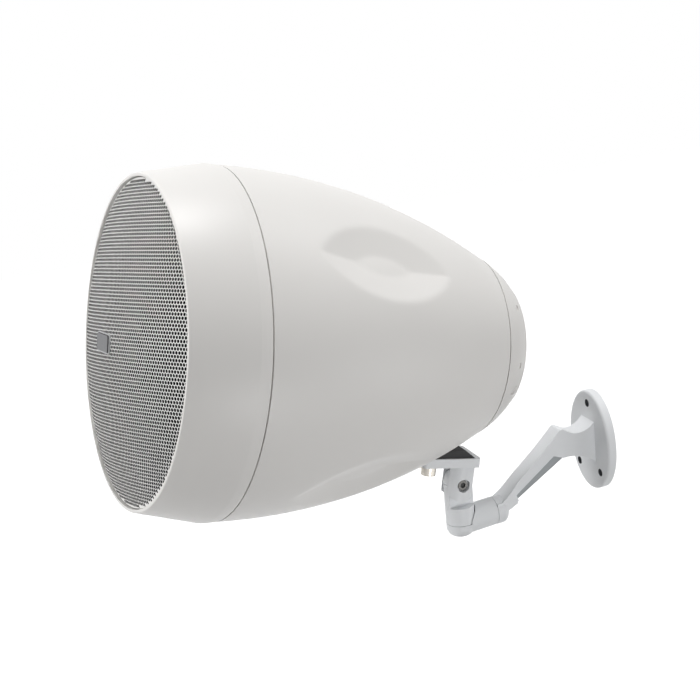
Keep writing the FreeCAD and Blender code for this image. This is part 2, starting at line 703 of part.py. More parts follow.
def rear_cap():
    outside = cap_outer(0)
    body = outside.cut(cap_outer(CAP_WALL))
    head_r = M3[1] + HEAD_FIT
    for foot in cap_screw_points(CAP_SEAM_S):
        pillar = Part.makeCylinder(head_r + CAP_PILLAR_WALL, 2 * CAP_DEPTH, foot, AXIS)
        body = body.fuse(pillar.common(outside))
    for seat in cap_screw_points(CAP_SEAM_S - CAP_WALL):
        shank = Part.makeCylinder(M3[0] + HOLE_FIT, CAP_WALL, seat, -AXIS)
        body = body.cut(shank).cut(Part.makeCylinder(head_r, 2 * CAP_DEPTH, seat, AXIS))
    for angle in CAP_NOTCH_ANGLES:
        corner = Vector(-CAP_NOTCH_W / 2, CAP_NOTCH_S - CAP_SEAM_S, CAP_NOTCH_R)
        notch = Part.makeBox(CAP_NOTCH_W, CAP_NOTCH_DEPTH, SEAM_R, corner)
        body = body.cut(turned_about_axis(notch, angle))
    body = body.cut(rod(CAP_BACK_S, CAP_FLOOR_S, GLAND_THREAD_R + HOLE_FIT, u=GLAND_U))
    for point in clip_screw_points():
        body = body.cut(Part.makeCylinder(M3[0] + HOLE_FIT, CLIP_SCREW_BITE + HOLE_FIT, point, AXIS))
    return body.removeSplitter()


def cap_gasket():
    body = ring(CAP_SEAM_S, -SHELL_LENGTH, REAR_OPENING_R, SHELL_REAR_R - CAP_WALL)
    for point in cap_screw_points(-SHELL_LENGTH):
        body = body.cut(Part.makeCylinder(M3[0] + HOLE_FIT, CAP_GAP, point, AXIS))
    return body


def cap_screws():
    length = CAP_WALL + CAP_GAP + REAR_FLANGE
    seats = cap_screw_points(CAP_SEAM_S - CAP_WALL)
    return Part.makeCompound([cap_screw(M3, length, seat, -AXIS) for seat in seats])


def cable_gland():
    """Hexagon flange and tapered nose outside, thread through the cap, bore for the speaker line."""
    base = Vector(0, -CAP_BACK_S, GLAND_U)
    flange = hexagon(GLAND_HEX, GLAND_FLANGE, base, AXIS)
    nose = Part.makeCone(GLAND_HEX / 2 - GLAND_STEP, GLAND_THREAD_R - GLAND_STEP,
                         GLAND_LENGTH - GLAND_FLANGE, base + AXIS * GLAND_FLANGE, AXIS)
    thread_length = CAP_WALL + GLAND_NUT_THICK + GLAND_STEP
    thread = Part.makeCylinder(GLAND_THREAD_R, thread_length, base, -AXIS)
    bore = Part.makeCylinder(GLAND_BORE_R, GLAND_LENGTH + thread_length, base + AXIS * GLAND_LENGTH, -AXIS)
    return flange.fuse([nose, thread]).cut(bore).removeSplitter()


def gland_nut():
    base = Vector(0, -CAP_FLOOR_S, GLAND_U)
    nut = hexagon(GLAND_HEX, GLAND_NUT_THICK, base, -AXIS)
    return nut.cut(Part.makeCylinder(GLAND_THREAD_R + HOLE_FIT, GLAND_NUT_THICK, base, -AXIS))


def cap_block(width, height, s_back, s_front, u):
    """Box inside the cap, centred on x = 0 and on u."""
    return Part.makeBox(width, s_front - s_back, height, Vector(-width / 2, -s_front, u - height / 2))


def transformer_core():
    """Stack of E and I laminations: a block with two windows for the coil."""
    back = CORE_BACK_S
    core = cap_block(CORE_WIDTH, CORE_HEIGHT, back, back + CORE_STACK, CORE_U)
    window_w = (CORE_WIDTH - 4 * CORE_LEG) / 2
    for side in (-1, 1):
        window = cap_block(window_w, CORE_HEIGHT - 2 * CORE_LEG, back, back + CORE_STACK, CORE_U)
        window.translate(Vector(side * (CORE_LEG + window_w / 2), 0, 0))
        core = core.cut(window)
    return core


def transformer_coil():
    """Winding on the core's middle leg, standing out in front of and behind the stack."""
    back = CORE_BACK_S
    fit = HOLE_FIT
    window_w = (CORE_WIDTH - 4 * CORE_LEG) / 2
    height = CORE_HEIGHT - 2 * CORE_LEG - 2 * fit
    outer_w = 2 * (CORE_LEG + window_w - fit)
    coil = cap_block(outer_w, height, back - CORE_STANDOFF + fit, back + CORE_STACK + COIL_SIDE, CORE_U)
    return coil.cut(cap_block(2 * (CORE_LEG + fit), height, back - fit, back + CORE_STACK + fit, CORE_U))


def clip_screw_points():
    reach = (CORE_WIDTH + CLIP_WING) / 2 + CLIP_SHEET
    return [Vector(side * reach, -CAP_FLOOR_S, CORE_U) for side in (-1, 1)]


def transformer_clips():
    """Two bent clips: a wing screwed to the cap and a cheek that grips the end of the core."""
    floor = CAP_FLOOR_S
    reach = CORE_WIDTH + 2 * (CLIP_SHEET + CLIP_WING)
    wings = cap_block(reach, CLIP_WIDTH, floor, floor + CLIP_SHEET, CORE_U)
    cheeks = cap_block(CORE_WIDTH + 2 * CLIP_SHEET, CLIP_WIDTH, floor, CORE_BACK_S + CORE_STACK, CORE_U)
    clips = wings.fuse(cheeks).cut(cap_block(CORE_WIDTH, CLIP_WIDTH, floor, CORE_BACK_S + CORE_STACK, CORE_U))
    for point in clip_screw_points():
        clips = clips.cut(Part.makeCylinder(M3[0] + HOLE_FIT, CLIP_SHEET, point, -AXIS))
    return clips.removeSplitter()


def transformer_screws():
    seats = [point - AXIS * CLIP_SHEET for point in clip_screw_points()]
    length = CLIP_SHEET + CLIP_SCREW_BITE
    return Part.makeCompound([cap_screw(M3, length, seat, AXIS) for seat in seats])


def terminal_block():
    """Connector strip for the speaker line, with a wire hole and a screw well for each way."""
    back = CAP_FLOOR_S
    block = cap_block(TERMINAL_LENGTH, TERMINAL_HEIGHT, back, back + TERMINAL_DEPTH, TERMINAL_U)
    pitch = TERMINAL_LENGTH / TERMINAL_WAYS
    wire_s = back + TERMINAL_WIRE_S
    for way in range(TERMINAL_WAYS):
        x = pitch * (way - (TERMINAL_WAYS - 1) / 2)
        foot = Vector(x, -wire_s, TERMINAL_U - TERMINAL_HEIGHT / 2)
        wire = Part.makeCylinder(TERMINAL_WIRE_R, TERMINAL_HEIGHT, foot, UP)
        well = rod(wire_s, back + TERMINAL_DEPTH, TERMINAL_WELL_R, x, TERMINAL_U)
        block = block.cut(wire).cut(well)
    return block


# Saddle, mounting screws and bracket head, all in the speaker frame

def head_block(half_w, s_back, s_front, u_low, u_high):
    return Part.makeBox(2 * half_w, s_front - s_back, u_high - u_low, Vector(-half_w, -s_front, u_low))


def saddle_pad():
    """Rubber wedge: follows the shell in front, has a flat crest, and slopes down to the plate behind."""
    front_s = MOUNT_S + HEAD_FRONT
    crest = HEAD_TOP_U + SADDLE_CREST
    side = outline(
        lambda s, u: Vector(-SADDLE_HALF_W, -s, u),
        (front_s, HEAD_TOP_U), (front_s, crest), (SADDLE_FLAT_S, crest), (SADDLE_REAR_S, HEAD_TOP_U))
    pad = side.extrude(Vector(2 * SADDLE_HALF_W, 0, 0))
    pad = pad.cut(shell_body(-SADDLE_FIT, -SHELL_LENGTH))
    for foot in mount_points(HEAD_TOP_U):
        pad = pad.cut(Part.makeCylinder(M6[0] + HOLE_FIT, SADDLE_CREST, foot, UP))
    return pad


def mount_screws():
    length = HEAD_THICK + SADDLE_MIN + INSERT_SUNK + INSERT_LENGTH - END_ROOM
    return Part.makeCompound([cap_screw(M6, length, seat, UP) for seat in mount_points(HEAD_BOTTOM_U)])


def head_clevis():
    """Plate under the saddle with a slotted round boss whose two halves are the clevis ears."""
    rear_s = SADDLE_REAR_S - HEAD_REAR
    front_s = MOUNT_S + HEAD_FRONT
    plate = head_block(HEAD_HALF_W, rear_s, front_s, HEAD_BOTTOM_U, HEAD_TOP_U)
    plate = plate.makeFillet(HEAD_CORNER, edges_along(plate, UP))
    plate = plate.cut(shell_body(-SADDLE_FIT, -SHELL_LENGTH))
    ear_low = PIVOT_U - EAR_ROUND_R
    boss = Part.makeCylinder(EAR_R, HEAD_BOTTOM_U - ear_low, Vector(0, -PIVOT_S, ear_low), UP)
    pivot = Vector(-EAR_R, -PIVOT_S, PIVOT_U)
    keep = Part.makeCylinder(EAR_ROUND_R, 2 * EAR_R, pivot, ACROSS)
    keep = keep.fuse(head_block(EAR_R, PIVOT_S - EAR_ROUND_R, PIVOT_S + EAR_ROUND_R, PIVOT_U, HEAD_BOTTOM_U))
    boss = boss.common(keep)
    slot = head_block(EAR_SLOT / 2, PIVOT_S - EAR_R, PIVOT_S + EAR_R, ear_low, HEAD_BOTTOM_U)
    body = plate.fuse(boss.cut(slot))
    hole = Part.makeCylinder(M4_LOW[0] + HOLE_FIT, 2 * EAR_R, pivot, ACROSS)
    head_seat = pivot + ACROSS * (2 * EAR_R - PIVOT_COUNTERBORE)
    head_room = Part.makeCylinder(PIVOT_RECESS_R, PIVOT_COUNTERBORE, head_seat, ACROSS)
    nut_room = hexagon(NUT_M4_FLATS + HOLE_FIT, PIVOT_COUNTERBORE, pivot, ACROSS)
    body = body.cut(hole).cut(head_room).cut(nut_room)
    for foot in mount_points(HEAD_BOTTOM_U):
        body = body.cut(Part.makeCylinder(M6[0] + HOLE_FIT, HEAD_THICK, foot, UP))
    return body.removeSplitter()


def pivot_bolt():
    seat = Vector(EAR_R - PIVOT_COUNTERBORE, -PIVOT_S, PIVOT_U)
    length = 2 * (EAR_R - PIVOT_COUNTERBORE) + NUT_M4_THICK
    return cap_screw(M4_LOW, length, seat, ACROSS * -1)


def pivot_nut():
    base = Vector(-EAR_R + PIVOT_COUNTERBORE, -PIVOT_S, PIVOT_U)
    outward = ACROSS * -1
    nut = hexagon(NUT_M4_FLATS, NUT_M4_THICK, base, outward)
    return nut.cut(Part.makeCylinder(M4_LOW[0] + HOLE_FIT, NUT_M4_THICK, base, outward))


def pivot_washers():
    thick = (EAR_SLOT - TONGUE) / 2 - RUN_FIT
    solids = []
    for side in (-1, 1):
        face = Vector(side * EAR_SLOT / 2, -PIVOT_S, PIVOT_U)
        inward = ACROSS * -side
        disc = Part.makeCylinder(WASHER_R, thick, face, inward)
        solids.append(disc.cut(Part.makeCylinder(M4_LOW[0] + HOLE_FIT, thick, face, inward)))
    return Part.makeCompound(solids)


# Bracket pieces in the wall frame

def upright(radius, z_low, z_high):
    """Cylinder on the post's axis."""
    return Part.makeCylinder(radius, z_high - z_low, Vector(0, POST_Y, z_low), UP)


def clevis_post():
    """Round post with a flat tongue whose top is rounded about the pivot."""
    post = upright(POST_R, POST_FOOT_Z, PIVOT_Z + TONGUE_TOP_R)
    pivot = Vector(-POST_R, POST_Y, PIVOT_Z)
    top = Part.makeCylinder(TONGUE_TOP_R, 2 * POST_R, pivot, ACROSS)
    corner = Vector(-POST_R, POST_Y - POST_R, POST_FOOT_Z)
    below = Part.makeBox(2 * POST_R, 2 * POST_R, PIVOT_Z - POST_FOOT_Z, corner)
    post = post.common(top.fuse(below))
    cheek_h = PIVOT_Z + TONGUE_TOP_R - POST_SHOULDER_Z
    for x in (TONGUE / 2, -TONGUE / 2 - POST_R):
        foot = Vector(x, POST_Y - POST_R, POST_SHOULDER_Z)
        post = post.cut(Part.makeBox(POST_R, 2 * POST_R, cheek_h, foot))
    post = post.cut(Part.makeCylinder(M4_LOW[0] + HOLE_FIT, 2 * POST_R, pivot, ACROSS))
    return post.cut(upright(M5[0] + HOLE_FIT, POST_FOOT_Z, POST_SHOULDER_Z + END_ROOM)).removeSplitter()


def pan_screw():
    """Screw from under the dish into the post, with a running gap under its head."""
    seat = Vector(0, POST_Y, PAN_SEAT_Z - RUN_FIT)
    return cap_screw(M5, POST_SHOULDER_Z - seat.z, seat, UP)


def swivel_screw():
    """Screw from inside the elbow's leg into the collar, with a running gap under its head."""
    seat = Vector(0, SWIVEL_SEAT_Y - RUN_FIT, LEG_Z)
    return cap_screw(M5, LEG_END_Y + COLLAR_LENGTH - END_ROOM - seat.y, seat, AXIS)


def elbow():
    """Dish under the post and a round leg to the arm, cleared for the post to turn in it."""
    dish = upright(DISH_R, DISH_FLOOR_Z, DISH_SEAT_Z)
    low = [edge for edge in dish.Edges if abs(edge.BoundBox.ZMax - DISH_FLOOR_Z) < TINY]
    dish = dish.makeFillet(DISH_ROUND, low)
    below = Part.Circle(Vector(0, POST_Y, DISH_FLOOR_Z + DISH_R), AXIS, DISH_R)
    joint = Part.Circle(Vector(0, LEG_END_Y, LEG_Z), AXIS, LEG_R)
    leg = Part.makeLoft([Part.Wire([ring_edge.toShape()]) for ring_edge in (below, joint)], True, True)
    body = leg.fuse(dish).cut(upright(POST_R + POST_CLEAR, DISH_SEAT_Z, LEG_Z + LEG_R))
    swivel_seat = Vector(0, SWIVEL_SEAT_Y, LEG_Z)
    body = body.cut(Part.makeCylinder(M5[1] + HEAD_FIT, SWIVEL_SEAT_Y - POST_Y, swivel_seat, AXIS * -1))
    body = body.cut(Part.makeCylinder(M5[0] + HOLE_FIT, LEG_END_Y - SWIVEL_SEAT_Y, swivel_seat, AXIS))
    pan_seat = Vector(0, POST_Y, PAN_SEAT_Z)
    body = body.cut(Part.makeCylinder(M5[1] + HEAD_FIT, DISH_DEPTH, pan_seat, UP * -1))
    body = body.cut(Part.makeCylinder(M5[0] + HOLE_FIT, DISH_DEPTH, pan_seat, UP))
    return body.removeSplitter()


def arm_beam():
    """Inclined beam and neck: the side view and the view from above, carried through each other."""
    inside_plate = -PLATE_THICK / 2
    side = outline(
        on_side, (inside_plate, NECK_TOP_Z), (-PLATE_THICK, NECK_TOP_Z), (SADDLE_LOW, ARM_TOP_CREST),
        (ARM_TOP_MID, ARM_TOP_FOOT), (COLLAR_Y, ARM_TOP_FOOT[1]), (COLLAR_Y, ARM_UNDER_FOOT[1]),
        ARM_UNDER_FOOT, ARM_UNDER_BEND, ARM_UNDER_TOP,
        (NECK_UNDER_MID, (-PLATE_THICK, NECK_BOTTOM_Z)), (inside_plate, NECK_BOTTOM_Z))
    waist_y = ARM_UNDER_FOOT[0] + COLLAR_LENGTH
    neck_y = ARM_TOP_CREST[0]
    right = [(NECK_HALF_W, inside_plate), (ARM_HALF_W, neck_y), (ARM_HALF_W, waist_y),
             (ARM_FOOT_HALF_W, COLLAR_Y)]
    left = [(-x, y) for x, y in reversed(right)]
    plan = outline(on_plan, *right, *left)
    height = PLATE_HALF_H * 2
    plan.translate(Vector(0, 0, -height))
    width = 2 * NECK_HALF_W
    side.translate(Vector(-width, 0, 0))
    beam = side.extrude(Vector(2 * width, 0, 0))
    crest = on_side(*ARM_TOP_CREST)
    ridge = [edge for edge in edges_along(beam, ACROSS) if edge.CenterOfMass.distanceToPoint(crest) < TINY]
    beam = beam.makeFillet(CREST_ROUND, ridge)
    return beam.common(plan.extrude(Vector(0, 0, 2 * height)))


def arm_pockets():
    """Stepped side pockets along the beam, open to its underside."""
    shallow = outline(on_side, POCKET_TOP, POCKET_FOOT, (POCKET_FOOT_VIA, POCKET_END), POCKET_CORNER)
    deep = outline(on_side, POCKET_MID, POCKET_FOOT_MID, POCKET_END, POCKET_CORNER)
    cuts = []
    for face, depth in ((shallow, POCKET_SHALLOW), (deep, POCKET_DEEP)):
        for side in (-1, 1):
            cut = face.copy()
            cut.translate(Vector(side * (ARM_HALF_W - depth), 0, 0))
            cuts.append(cut.extrude(Vector(side * (depth + NECK_HALF_W), 0, 0)))
    return Part.makeCompound(cuts)


def wall_plate():
    ellipse = Part.Ellipse(ORIGIN, PLATE_HALF_H, PLATE_HALF_W)
    plate = Part.Face(Part.Wire([ellipse.toShape()])).extrude(Vector(0, 0, PLATE_THICK))
    front = [edge for edge in plate.Edges if abs(edge.BoundBox.ZMin - PLATE_THICK) < TINY]
    plate = plate.makeFillet(PLATE_EDGE, front)
    plate.rotate(ORIGIN, UP, 90)
    plate.rotate(ORIGIN, ACROSS, 90)
    return plate


def wall_arm():
    collar = Part.makeCylinder(LEG_R, COLLAR_LENGTH, Vector(0, COLLAR_Y, LEG_Z), AXIS)
    far = [edge for edge in collar.Edges if abs(edge.BoundBox.YMin - COLLAR_Y - COLLAR_LENGTH) < TINY]
    collar = collar.makeFillet(COLLAR_ROUND, far)
    body = arm_beam().cut(arm_pockets()).fuse([collar, wall_plate()]).removeSplitter()
    for x, z in ((0, TOP_HOLE_Z), (-LOW_HOLE_X, LOW_HOLE_Z), (LOW_HOLE_X, LOW_HOLE_Z)):
        body = body.cut(Part.makeCylinder(WALL_HOLE_R, PLATE_THICK, Vector(x, -PLATE_THICK, z), AXIS))
    return body.cut(Part.makeCylinder(M5[0] + HOLE_FIT, COLLAR_LENGTH, Vector(0, COLLAR_Y, LEG_Z), AXIS))


ON_SPEAKER = (
    rear_shell, mount_inserts, front_bezel, bezel_screws, grille, grille_scrim, badge, bezel_gasket, baffle,
    driver_basket, driver_screws, driver_surround, driver_cone, voice_coil, whizzer_cone, dust_cap, spider,
    driver_top_plate, driver_magnet, driver_yoke, rear_cap, cap_gasket, cap_screws, cable_gland, gland_nut,
    transformer_core, transformer_coil, transformer_clips, transformer_screws, terminal_block, saddle_pad,
    mount_screws, head_clevis, pivot_bolt, pivot_nut, pivot_washers)
ON_WALL = (clevis_post, pan_screw, swivel_screw, elbow, wall_arm)

os.makedirs("parts", exist_ok=True)
for make in ON_SPEAKER:
    to_wall(make()).exportStep("parts/" + make.__name__ + ".step")
for make in ON_WALL:
    make().exportStep("parts/" + make.__name__ + ".step")
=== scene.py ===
import json
import math

import bmesh
import bpy
import numpy as np
from bpy.props import FloatProperty, FloatVectorProperty, IntProperty, PointerProperty
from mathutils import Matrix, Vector

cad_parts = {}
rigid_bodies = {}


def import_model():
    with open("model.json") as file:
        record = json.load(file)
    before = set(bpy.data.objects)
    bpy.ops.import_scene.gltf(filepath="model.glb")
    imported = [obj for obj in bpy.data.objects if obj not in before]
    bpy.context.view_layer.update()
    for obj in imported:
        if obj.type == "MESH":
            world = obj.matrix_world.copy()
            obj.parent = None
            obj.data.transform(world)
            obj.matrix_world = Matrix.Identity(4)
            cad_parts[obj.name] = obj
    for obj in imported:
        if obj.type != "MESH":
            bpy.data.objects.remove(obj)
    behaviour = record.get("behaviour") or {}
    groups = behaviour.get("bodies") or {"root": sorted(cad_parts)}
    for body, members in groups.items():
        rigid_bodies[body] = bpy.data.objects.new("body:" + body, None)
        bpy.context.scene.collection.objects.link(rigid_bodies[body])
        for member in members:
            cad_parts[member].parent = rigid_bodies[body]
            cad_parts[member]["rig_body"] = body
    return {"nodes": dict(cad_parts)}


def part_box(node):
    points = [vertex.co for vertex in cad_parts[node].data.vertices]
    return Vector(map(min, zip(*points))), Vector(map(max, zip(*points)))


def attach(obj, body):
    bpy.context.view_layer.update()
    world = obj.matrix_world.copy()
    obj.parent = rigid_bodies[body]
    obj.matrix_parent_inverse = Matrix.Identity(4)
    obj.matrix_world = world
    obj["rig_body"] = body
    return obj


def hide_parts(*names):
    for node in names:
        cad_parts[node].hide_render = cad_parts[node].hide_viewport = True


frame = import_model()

bl_info = {
    "name": "Projection speaker",
    "version": (1, 0, 0),
    "blender": (4, 5, 0),
    "location": "View3D > Sidebar > Speaker",
    "description": "Dresses the packed projection speaker and its bracket for a studio picture",
    "category": "Object",
}

MM = 0.001
FULL_TURN = 2 * math.pi

# Speaker frame inside the wall frame: s runs along the axis to the grille, r is the distance from
# the axis, and the seam between shell and bezel is at s = 0. Angles about the axis run from up
# towards +X.
SEAM_CENTRE = np.array((0.0, -275.604, 129.112)) * MM
TILT_UP = math.radians(12.3)
FORWARD = np.array((0.0, -math.cos(TILT_UP), math.sin(TILT_UP)))
UPWARD = np.array((0.0, math.sin(TILT_UP), math.cos(TILT_UP)))
SIDEWAYS = np.array((1.0, 0.0, 0.0))

# Fineness of the surfaces: steps round the axis, rows along it, and points in a rounded corner
SHELL_TURNS = 400
SHELL_ROWS = 150
INNER_ROWS = 24
BEZEL_TURNS = 256
BEZEL_ROWS = 12
ARC_STEPS = 5

# Rounding of the thin moulded edges, and the least length that anything is divided by
SEAM_EDGE = 0.25 * MM
TINY = 1e-9

# Corners of a hole in the grille, and cells left empty beyond the outermost ones
HEX = 6
EMPTY_CELLS = 2

# Merging of a copied node: weld distance, angle taken as flat, and angle taken as an edge
WELD = 0.002 * MM
FLAT = math.radians(0.6)
CREASE = math.radians(28)

# Picking of faces: how near a face lies to a place, and how square its normal is to a plane
NEAR = 0.2 * MM
LEVEL = 0.95

# Wall holes: place across and up, from the middle of the wall plate
WALL_HOLES = np.array(((0.0, 28.5), (-14.25, -19.1), (14.25, -19.1))) * MM

# Middle line of the inclined arm in the side view, (y, z) from its foot to its crest, its direction
# and normal, and the most that the arm's own points lie off it
ARM_FOOT = np.array((-73.0, -30.2)) * MM
ARM_CREST = np.array((-30.0, 5.3)) * MM
ARM_RUN = (ARM_CREST - ARM_FOOT) / np.linalg.norm(ARM_CREST - ARM_FOOT)
ARM_RISE = np.array((-ARM_RUN[1], ARM_RUN[0]))
ARM_REACH = 12 * MM

# Where metal is added to the arm: places in mm, then the share of the gain at each. A side runs off
# the middle line, and a span runs along it from the foot.
TOP_SIDE = ((0, 5), (0, 1))
TOP_SPAN = ((4, 16, 64, 70), (0, 1, 1, 0))
UNDER_SIDE = ((-6, -2), (1, 0))
UNDER_SPAN = ((7, 48, 50, 56), (0, 1, 1, 0))
POCKET_SPAN = ((0, 5, 10, 45), (0, 1, 1, 0))

# Upper edge of the deep pockets, off the middle line, and how near to it a point belongs to it
POCKET_EDGE = -1.0 * MM
POCKET_NEAR = 1.0 * MM

# Rim of the wall plate, as a share of the ellipse's radius
PLATE_RIM = 0.895

# Sockets that share a name with others, so they go by number: a Mix node's factor, two colours and
# result, and a Map Range node's value and the two ends of its new range
MIX_FACTOR, MIX_FIRST, MIX_SECOND, MIX_RESULT = 0, 6, 7, 2
RANGE_VALUE, RANGE_LOW, RANGE_HIGH = 0, 3, 4

# Phase of a wave texture of scale 1, in radians for each metre
WAVE_PHASE = 20


def linear(code):
    """Linear RGBA from an sRGB hex code: each channel through the sRGB transfer curve."""
    values = np.array([int(code[i:i + 2], 16) for i in (0, 2, 4)]) / 255
    curve = np.where(values <= 0.04045, values / 12.92, ((values + 0.055) / 1.055) ** 2.4)
    return (*curve.tolist(), 1.0)


def length(name, description, millimetres):
    """Property for a length, given here in millimetres and kept in metres."""
    return FloatProperty(name=name, description=description, default=millimetres * MM,
                         unit="LENGTH", precision=5)


def angle_of(name, description, degrees):
    """Property for an angle, given here in degrees and kept in radians."""
    return FloatProperty(name=name, description=description, default=math.radians(degrees),
                         subtype="ANGLE")


def tint(name, description, code):
    """Property for a colour, given as an sRGB hex code."""
    return FloatVectorProperty(name=name, description=description, subtype="COLOR", size=4,
                               min=0.0, max=1.0, default=linear(code))


class SpeakerSizes(bpy.types.PropertyGroup):
    """Sizes of the housing, the grille, the badge, the bracket and the rounded edges."""

    seam_radius: length("Seam radius", "Radius of the shell at the bezel", 112.5)
    shell_length: length("Shell length", "From the bezel's seam to the rear cap's seam", 184.3)
    shell_mid_radius: length("Middle radius", "Radius of the shell half way along", 98.95)
    shell_rear_radius: length("Rear radius", "Radius of the shell at the rear cap", 60.1)
    shell_wall: length("Wall", "Wall of the shell", 3.5)
    rear_opening: length("Rear opening", "Radius of the opening behind the cap", 46.0)
    rear_flange: length("Rear flange", "Thickness of the flange round the rear opening", 3.2)
    seam_gap: length("Seam gap", "Shadow gap between bezel and shell", 0.8)
    dimple_place: length("Dimple place", "Middle of a dimple along the axis", -86.0)
    dimple_half_length: length("Dimple half length", "Half of a dimple's length", 50.0)
    dimple_depth: length("Dimple depth", "Depth at which the two flanks would meet", 8.4)
    dimple_floor: length("Dimple floor", "Depth of the flat floor", 6.8)
    dimple_soft: length("Dimple softness", "Rounding of a dimple's outline, as a depth", 1.1)
    dimple_slope: angle_of("Dimple slope", "Slope of a dimple's flanks", 10.5)
    bezel_length: length("Bezel length", "From the seam to the front of the rim", 49.5)
    bezel_bulge_place: length("Bulge place", "Where the bezel is widest", 8.0)
    bezel_bulge_radius: length("Bulge radius", "Largest radius of the bezel", 113.0)
    bezel_front_radius: length("Rim radius", "Radius of the bezel at its rim", 105.4)
    bezel_wall: length("Bezel wall", "Wall of the bezel", 3.0)
    rim_round: length("Rim round", "Rounding of the rim", 1.0)
    lip_radius: length("Lip radius", "Radius of the recess that holds the grille", 103.2)
    seat_place: length("Seat place", "Where the grille's hem rests", 43.5)
    seat_radius: length("Seat radius", "Inner radius of the ledge under the hem", 98.5)
    seat_thick: length("Seat thickness", "Thickness of the ledge under the hem", 2.5)
    spigot_radius: length("Spigot radius", "Radius of the spigot inside the shell", 107.6)
    spigot_wall: length("Spigot wall", "Width of the spigot's flange", 11.0)
    spigot_back: length("Spigot back", "Where the spigot rests on the baffle", -3.0)
    spigot_flange: length("Spigot flange", "Thickness of the spigot's flange", 4.0)
    grille_radius: length("Grille radius", "Radius of the grille's hem", 102.5)
    grille_edge: length("Grille edge", "Where the dome meets the hem", 47.6)
    grille_rise: length("Grille rise", "Height of the dome", 20.0)
    grille_sheet: length("Grille sheet", "Thickness of the perforated sheet", 0.7)
    hole_pitch: length("Hole pitch", "Spacing of the perforation", 2.57)
    hole_size: length("Hole size", "Diameter of a hole", 2.16)
    hole_border: length("Hole border", "Plain border of the grille", 1.2)
    grille_roll: angle_of("Grille roll", "Turn of the hole rows about the axis", 12.5)
    badge_length: length("Badge length", "Length of the badge's tray", 24.0)
    badge_height: length("Badge height", "Height of the badge's tray", 12.5)
    badge_corner: length("Badge corner", "Corner radius of the tray", 1.2)
    badge_raise: length("Badge raise", "How far the badge stands off the grille's middle", 1.6)
    badge_step: length("Badge step", "How far the plate stands out of the tray", 0.9)
    badge_frame: length("Badge frame", "Width of the tray's top round the groove", 0.7)
    badge_groove: length("Badge groove", "Width of the groove round the plate", 0.3)
    badge_groove_depth: length("Badge groove depth", "Depth of the groove in the tray", 0.5)
    badge_tray_edge: length("Badge tray edge", "Chamfer of the tray's top", 0.12)
    badge_plate_edge: length("Badge plate edge", "Chamfer of the plate's face", 0.25)
    badge_roll: angle_of("Badge roll", "Turn of the badge about the axis", 8.5)
    casting_edge: length("Casting edge", "Rounding of the bracket's edges", 1.1)
    arm_web: length("Arm web", "Metal left between the arm's side pockets", 2.8)
    arm_top_gain: length("Arm top gain", "Metal added on top of the arm", 2.0)
    arm_under_gain: length("Arm under gain", "Metal added under the arm's web at the neck", 2.6)
    pocket_gain: length("Pocket gain", "Height added to the deep pockets at the foot", 1.8)
    plate_half_width: length("Plate half width", "Half of the wall plate's width", 26.8)
    plate_half_height: length("Plate half height", "Half of the wall plate's height", 35.0)
    plate_thick: length("Plate thickness", "Thickness of the wall plate", 6.6)
    plate_gain: length("Plate gain", "Metal added to the plate's top", 2.2)
    wall_hole: length("Wall hole", "Radius of a wall hole", 2.75)
    socket_reach: length("Socket reach", "Reach of the pivot screw's socket from its axis", 2.0)
    moulded_edge: length("Moulded edge", "Rounding of the cap's and gland's edges", 0.4)
    screw_edge: length("Screw edge", "Rounding of screw heads and nuts", 0.25)
    rubber_edge: length("Rubber edge", "Rounding of the saddle's edges", 0.7)
    corner_steps: IntProperty(name="Corner steps", description="Steps in each rounded edge",
                              default=3, min=1, max=6)


class SpeakerColours(bpy.types.PropertyGroup):
    """Colours of the surfaces that show."""

    housing: tint("Housing", "Moulded shell, bezel and cap", "ebe9e6")
    grille: tint("Grille", "Coating of the perforated sheet", "f4f3f1")
    # Painted shade: near black on the grille's hole walls, its hem and the badge's groove, where
    # shade falls
    painted_shade: tint("Painted hole shade", "Painted shade in the grille's holes, on its hem and in the badge's groove", "101112")
    cloth: tint("Cloth", "Scrim behind the grille", "060607")
    badge: tint("Badge", "Tray of the blank badge", "b4b5b6")
    badge_plate: tint("Badge plate", "Face of the blank badge", "717274")
    bracket: tint("Bracket", "Coating of the bracket", "f0f2f4")
    # Painted shade for the floors of the arm's deep side pockets
    recess: tint("Recess", "Painted shade on the floors of the arm's deep side pockets", "a8acaf")
    rubber: tint("Rubber", "Saddle and gaskets", "0d0e0f")
    nickel: tint("Nickel", "Screws that show", "b9b4ac")
    # Painted shade: a dark grey on the walls of the wall holes
    wall_hole_shade: tint("Wall hole shade", "Painted shade on the walls of the wall holes", "474a4d")
    # Painted shade: the pivot screw's head darkened for the shadow of its counterbore
    pivot: tint("Pivot screw", "Head of the pivot screw, darkened as painted shade of its counterbore", "6a6967")
    # Painted shade: black inside the pivot screw's socket
    socket: tint("Socket", "Painted shade inside the pivot screw's socket", "0c0c0d")
    backdrop: tint("Backdrop", "Studio background and floor", "ffffff")


def sizes():
    """The sizes in use."""
    return bpy.context.scene.speaker_sizes


def colours():
    """The colours in use."""
    return bpy.context.scene.speaker_colours


# Meshes

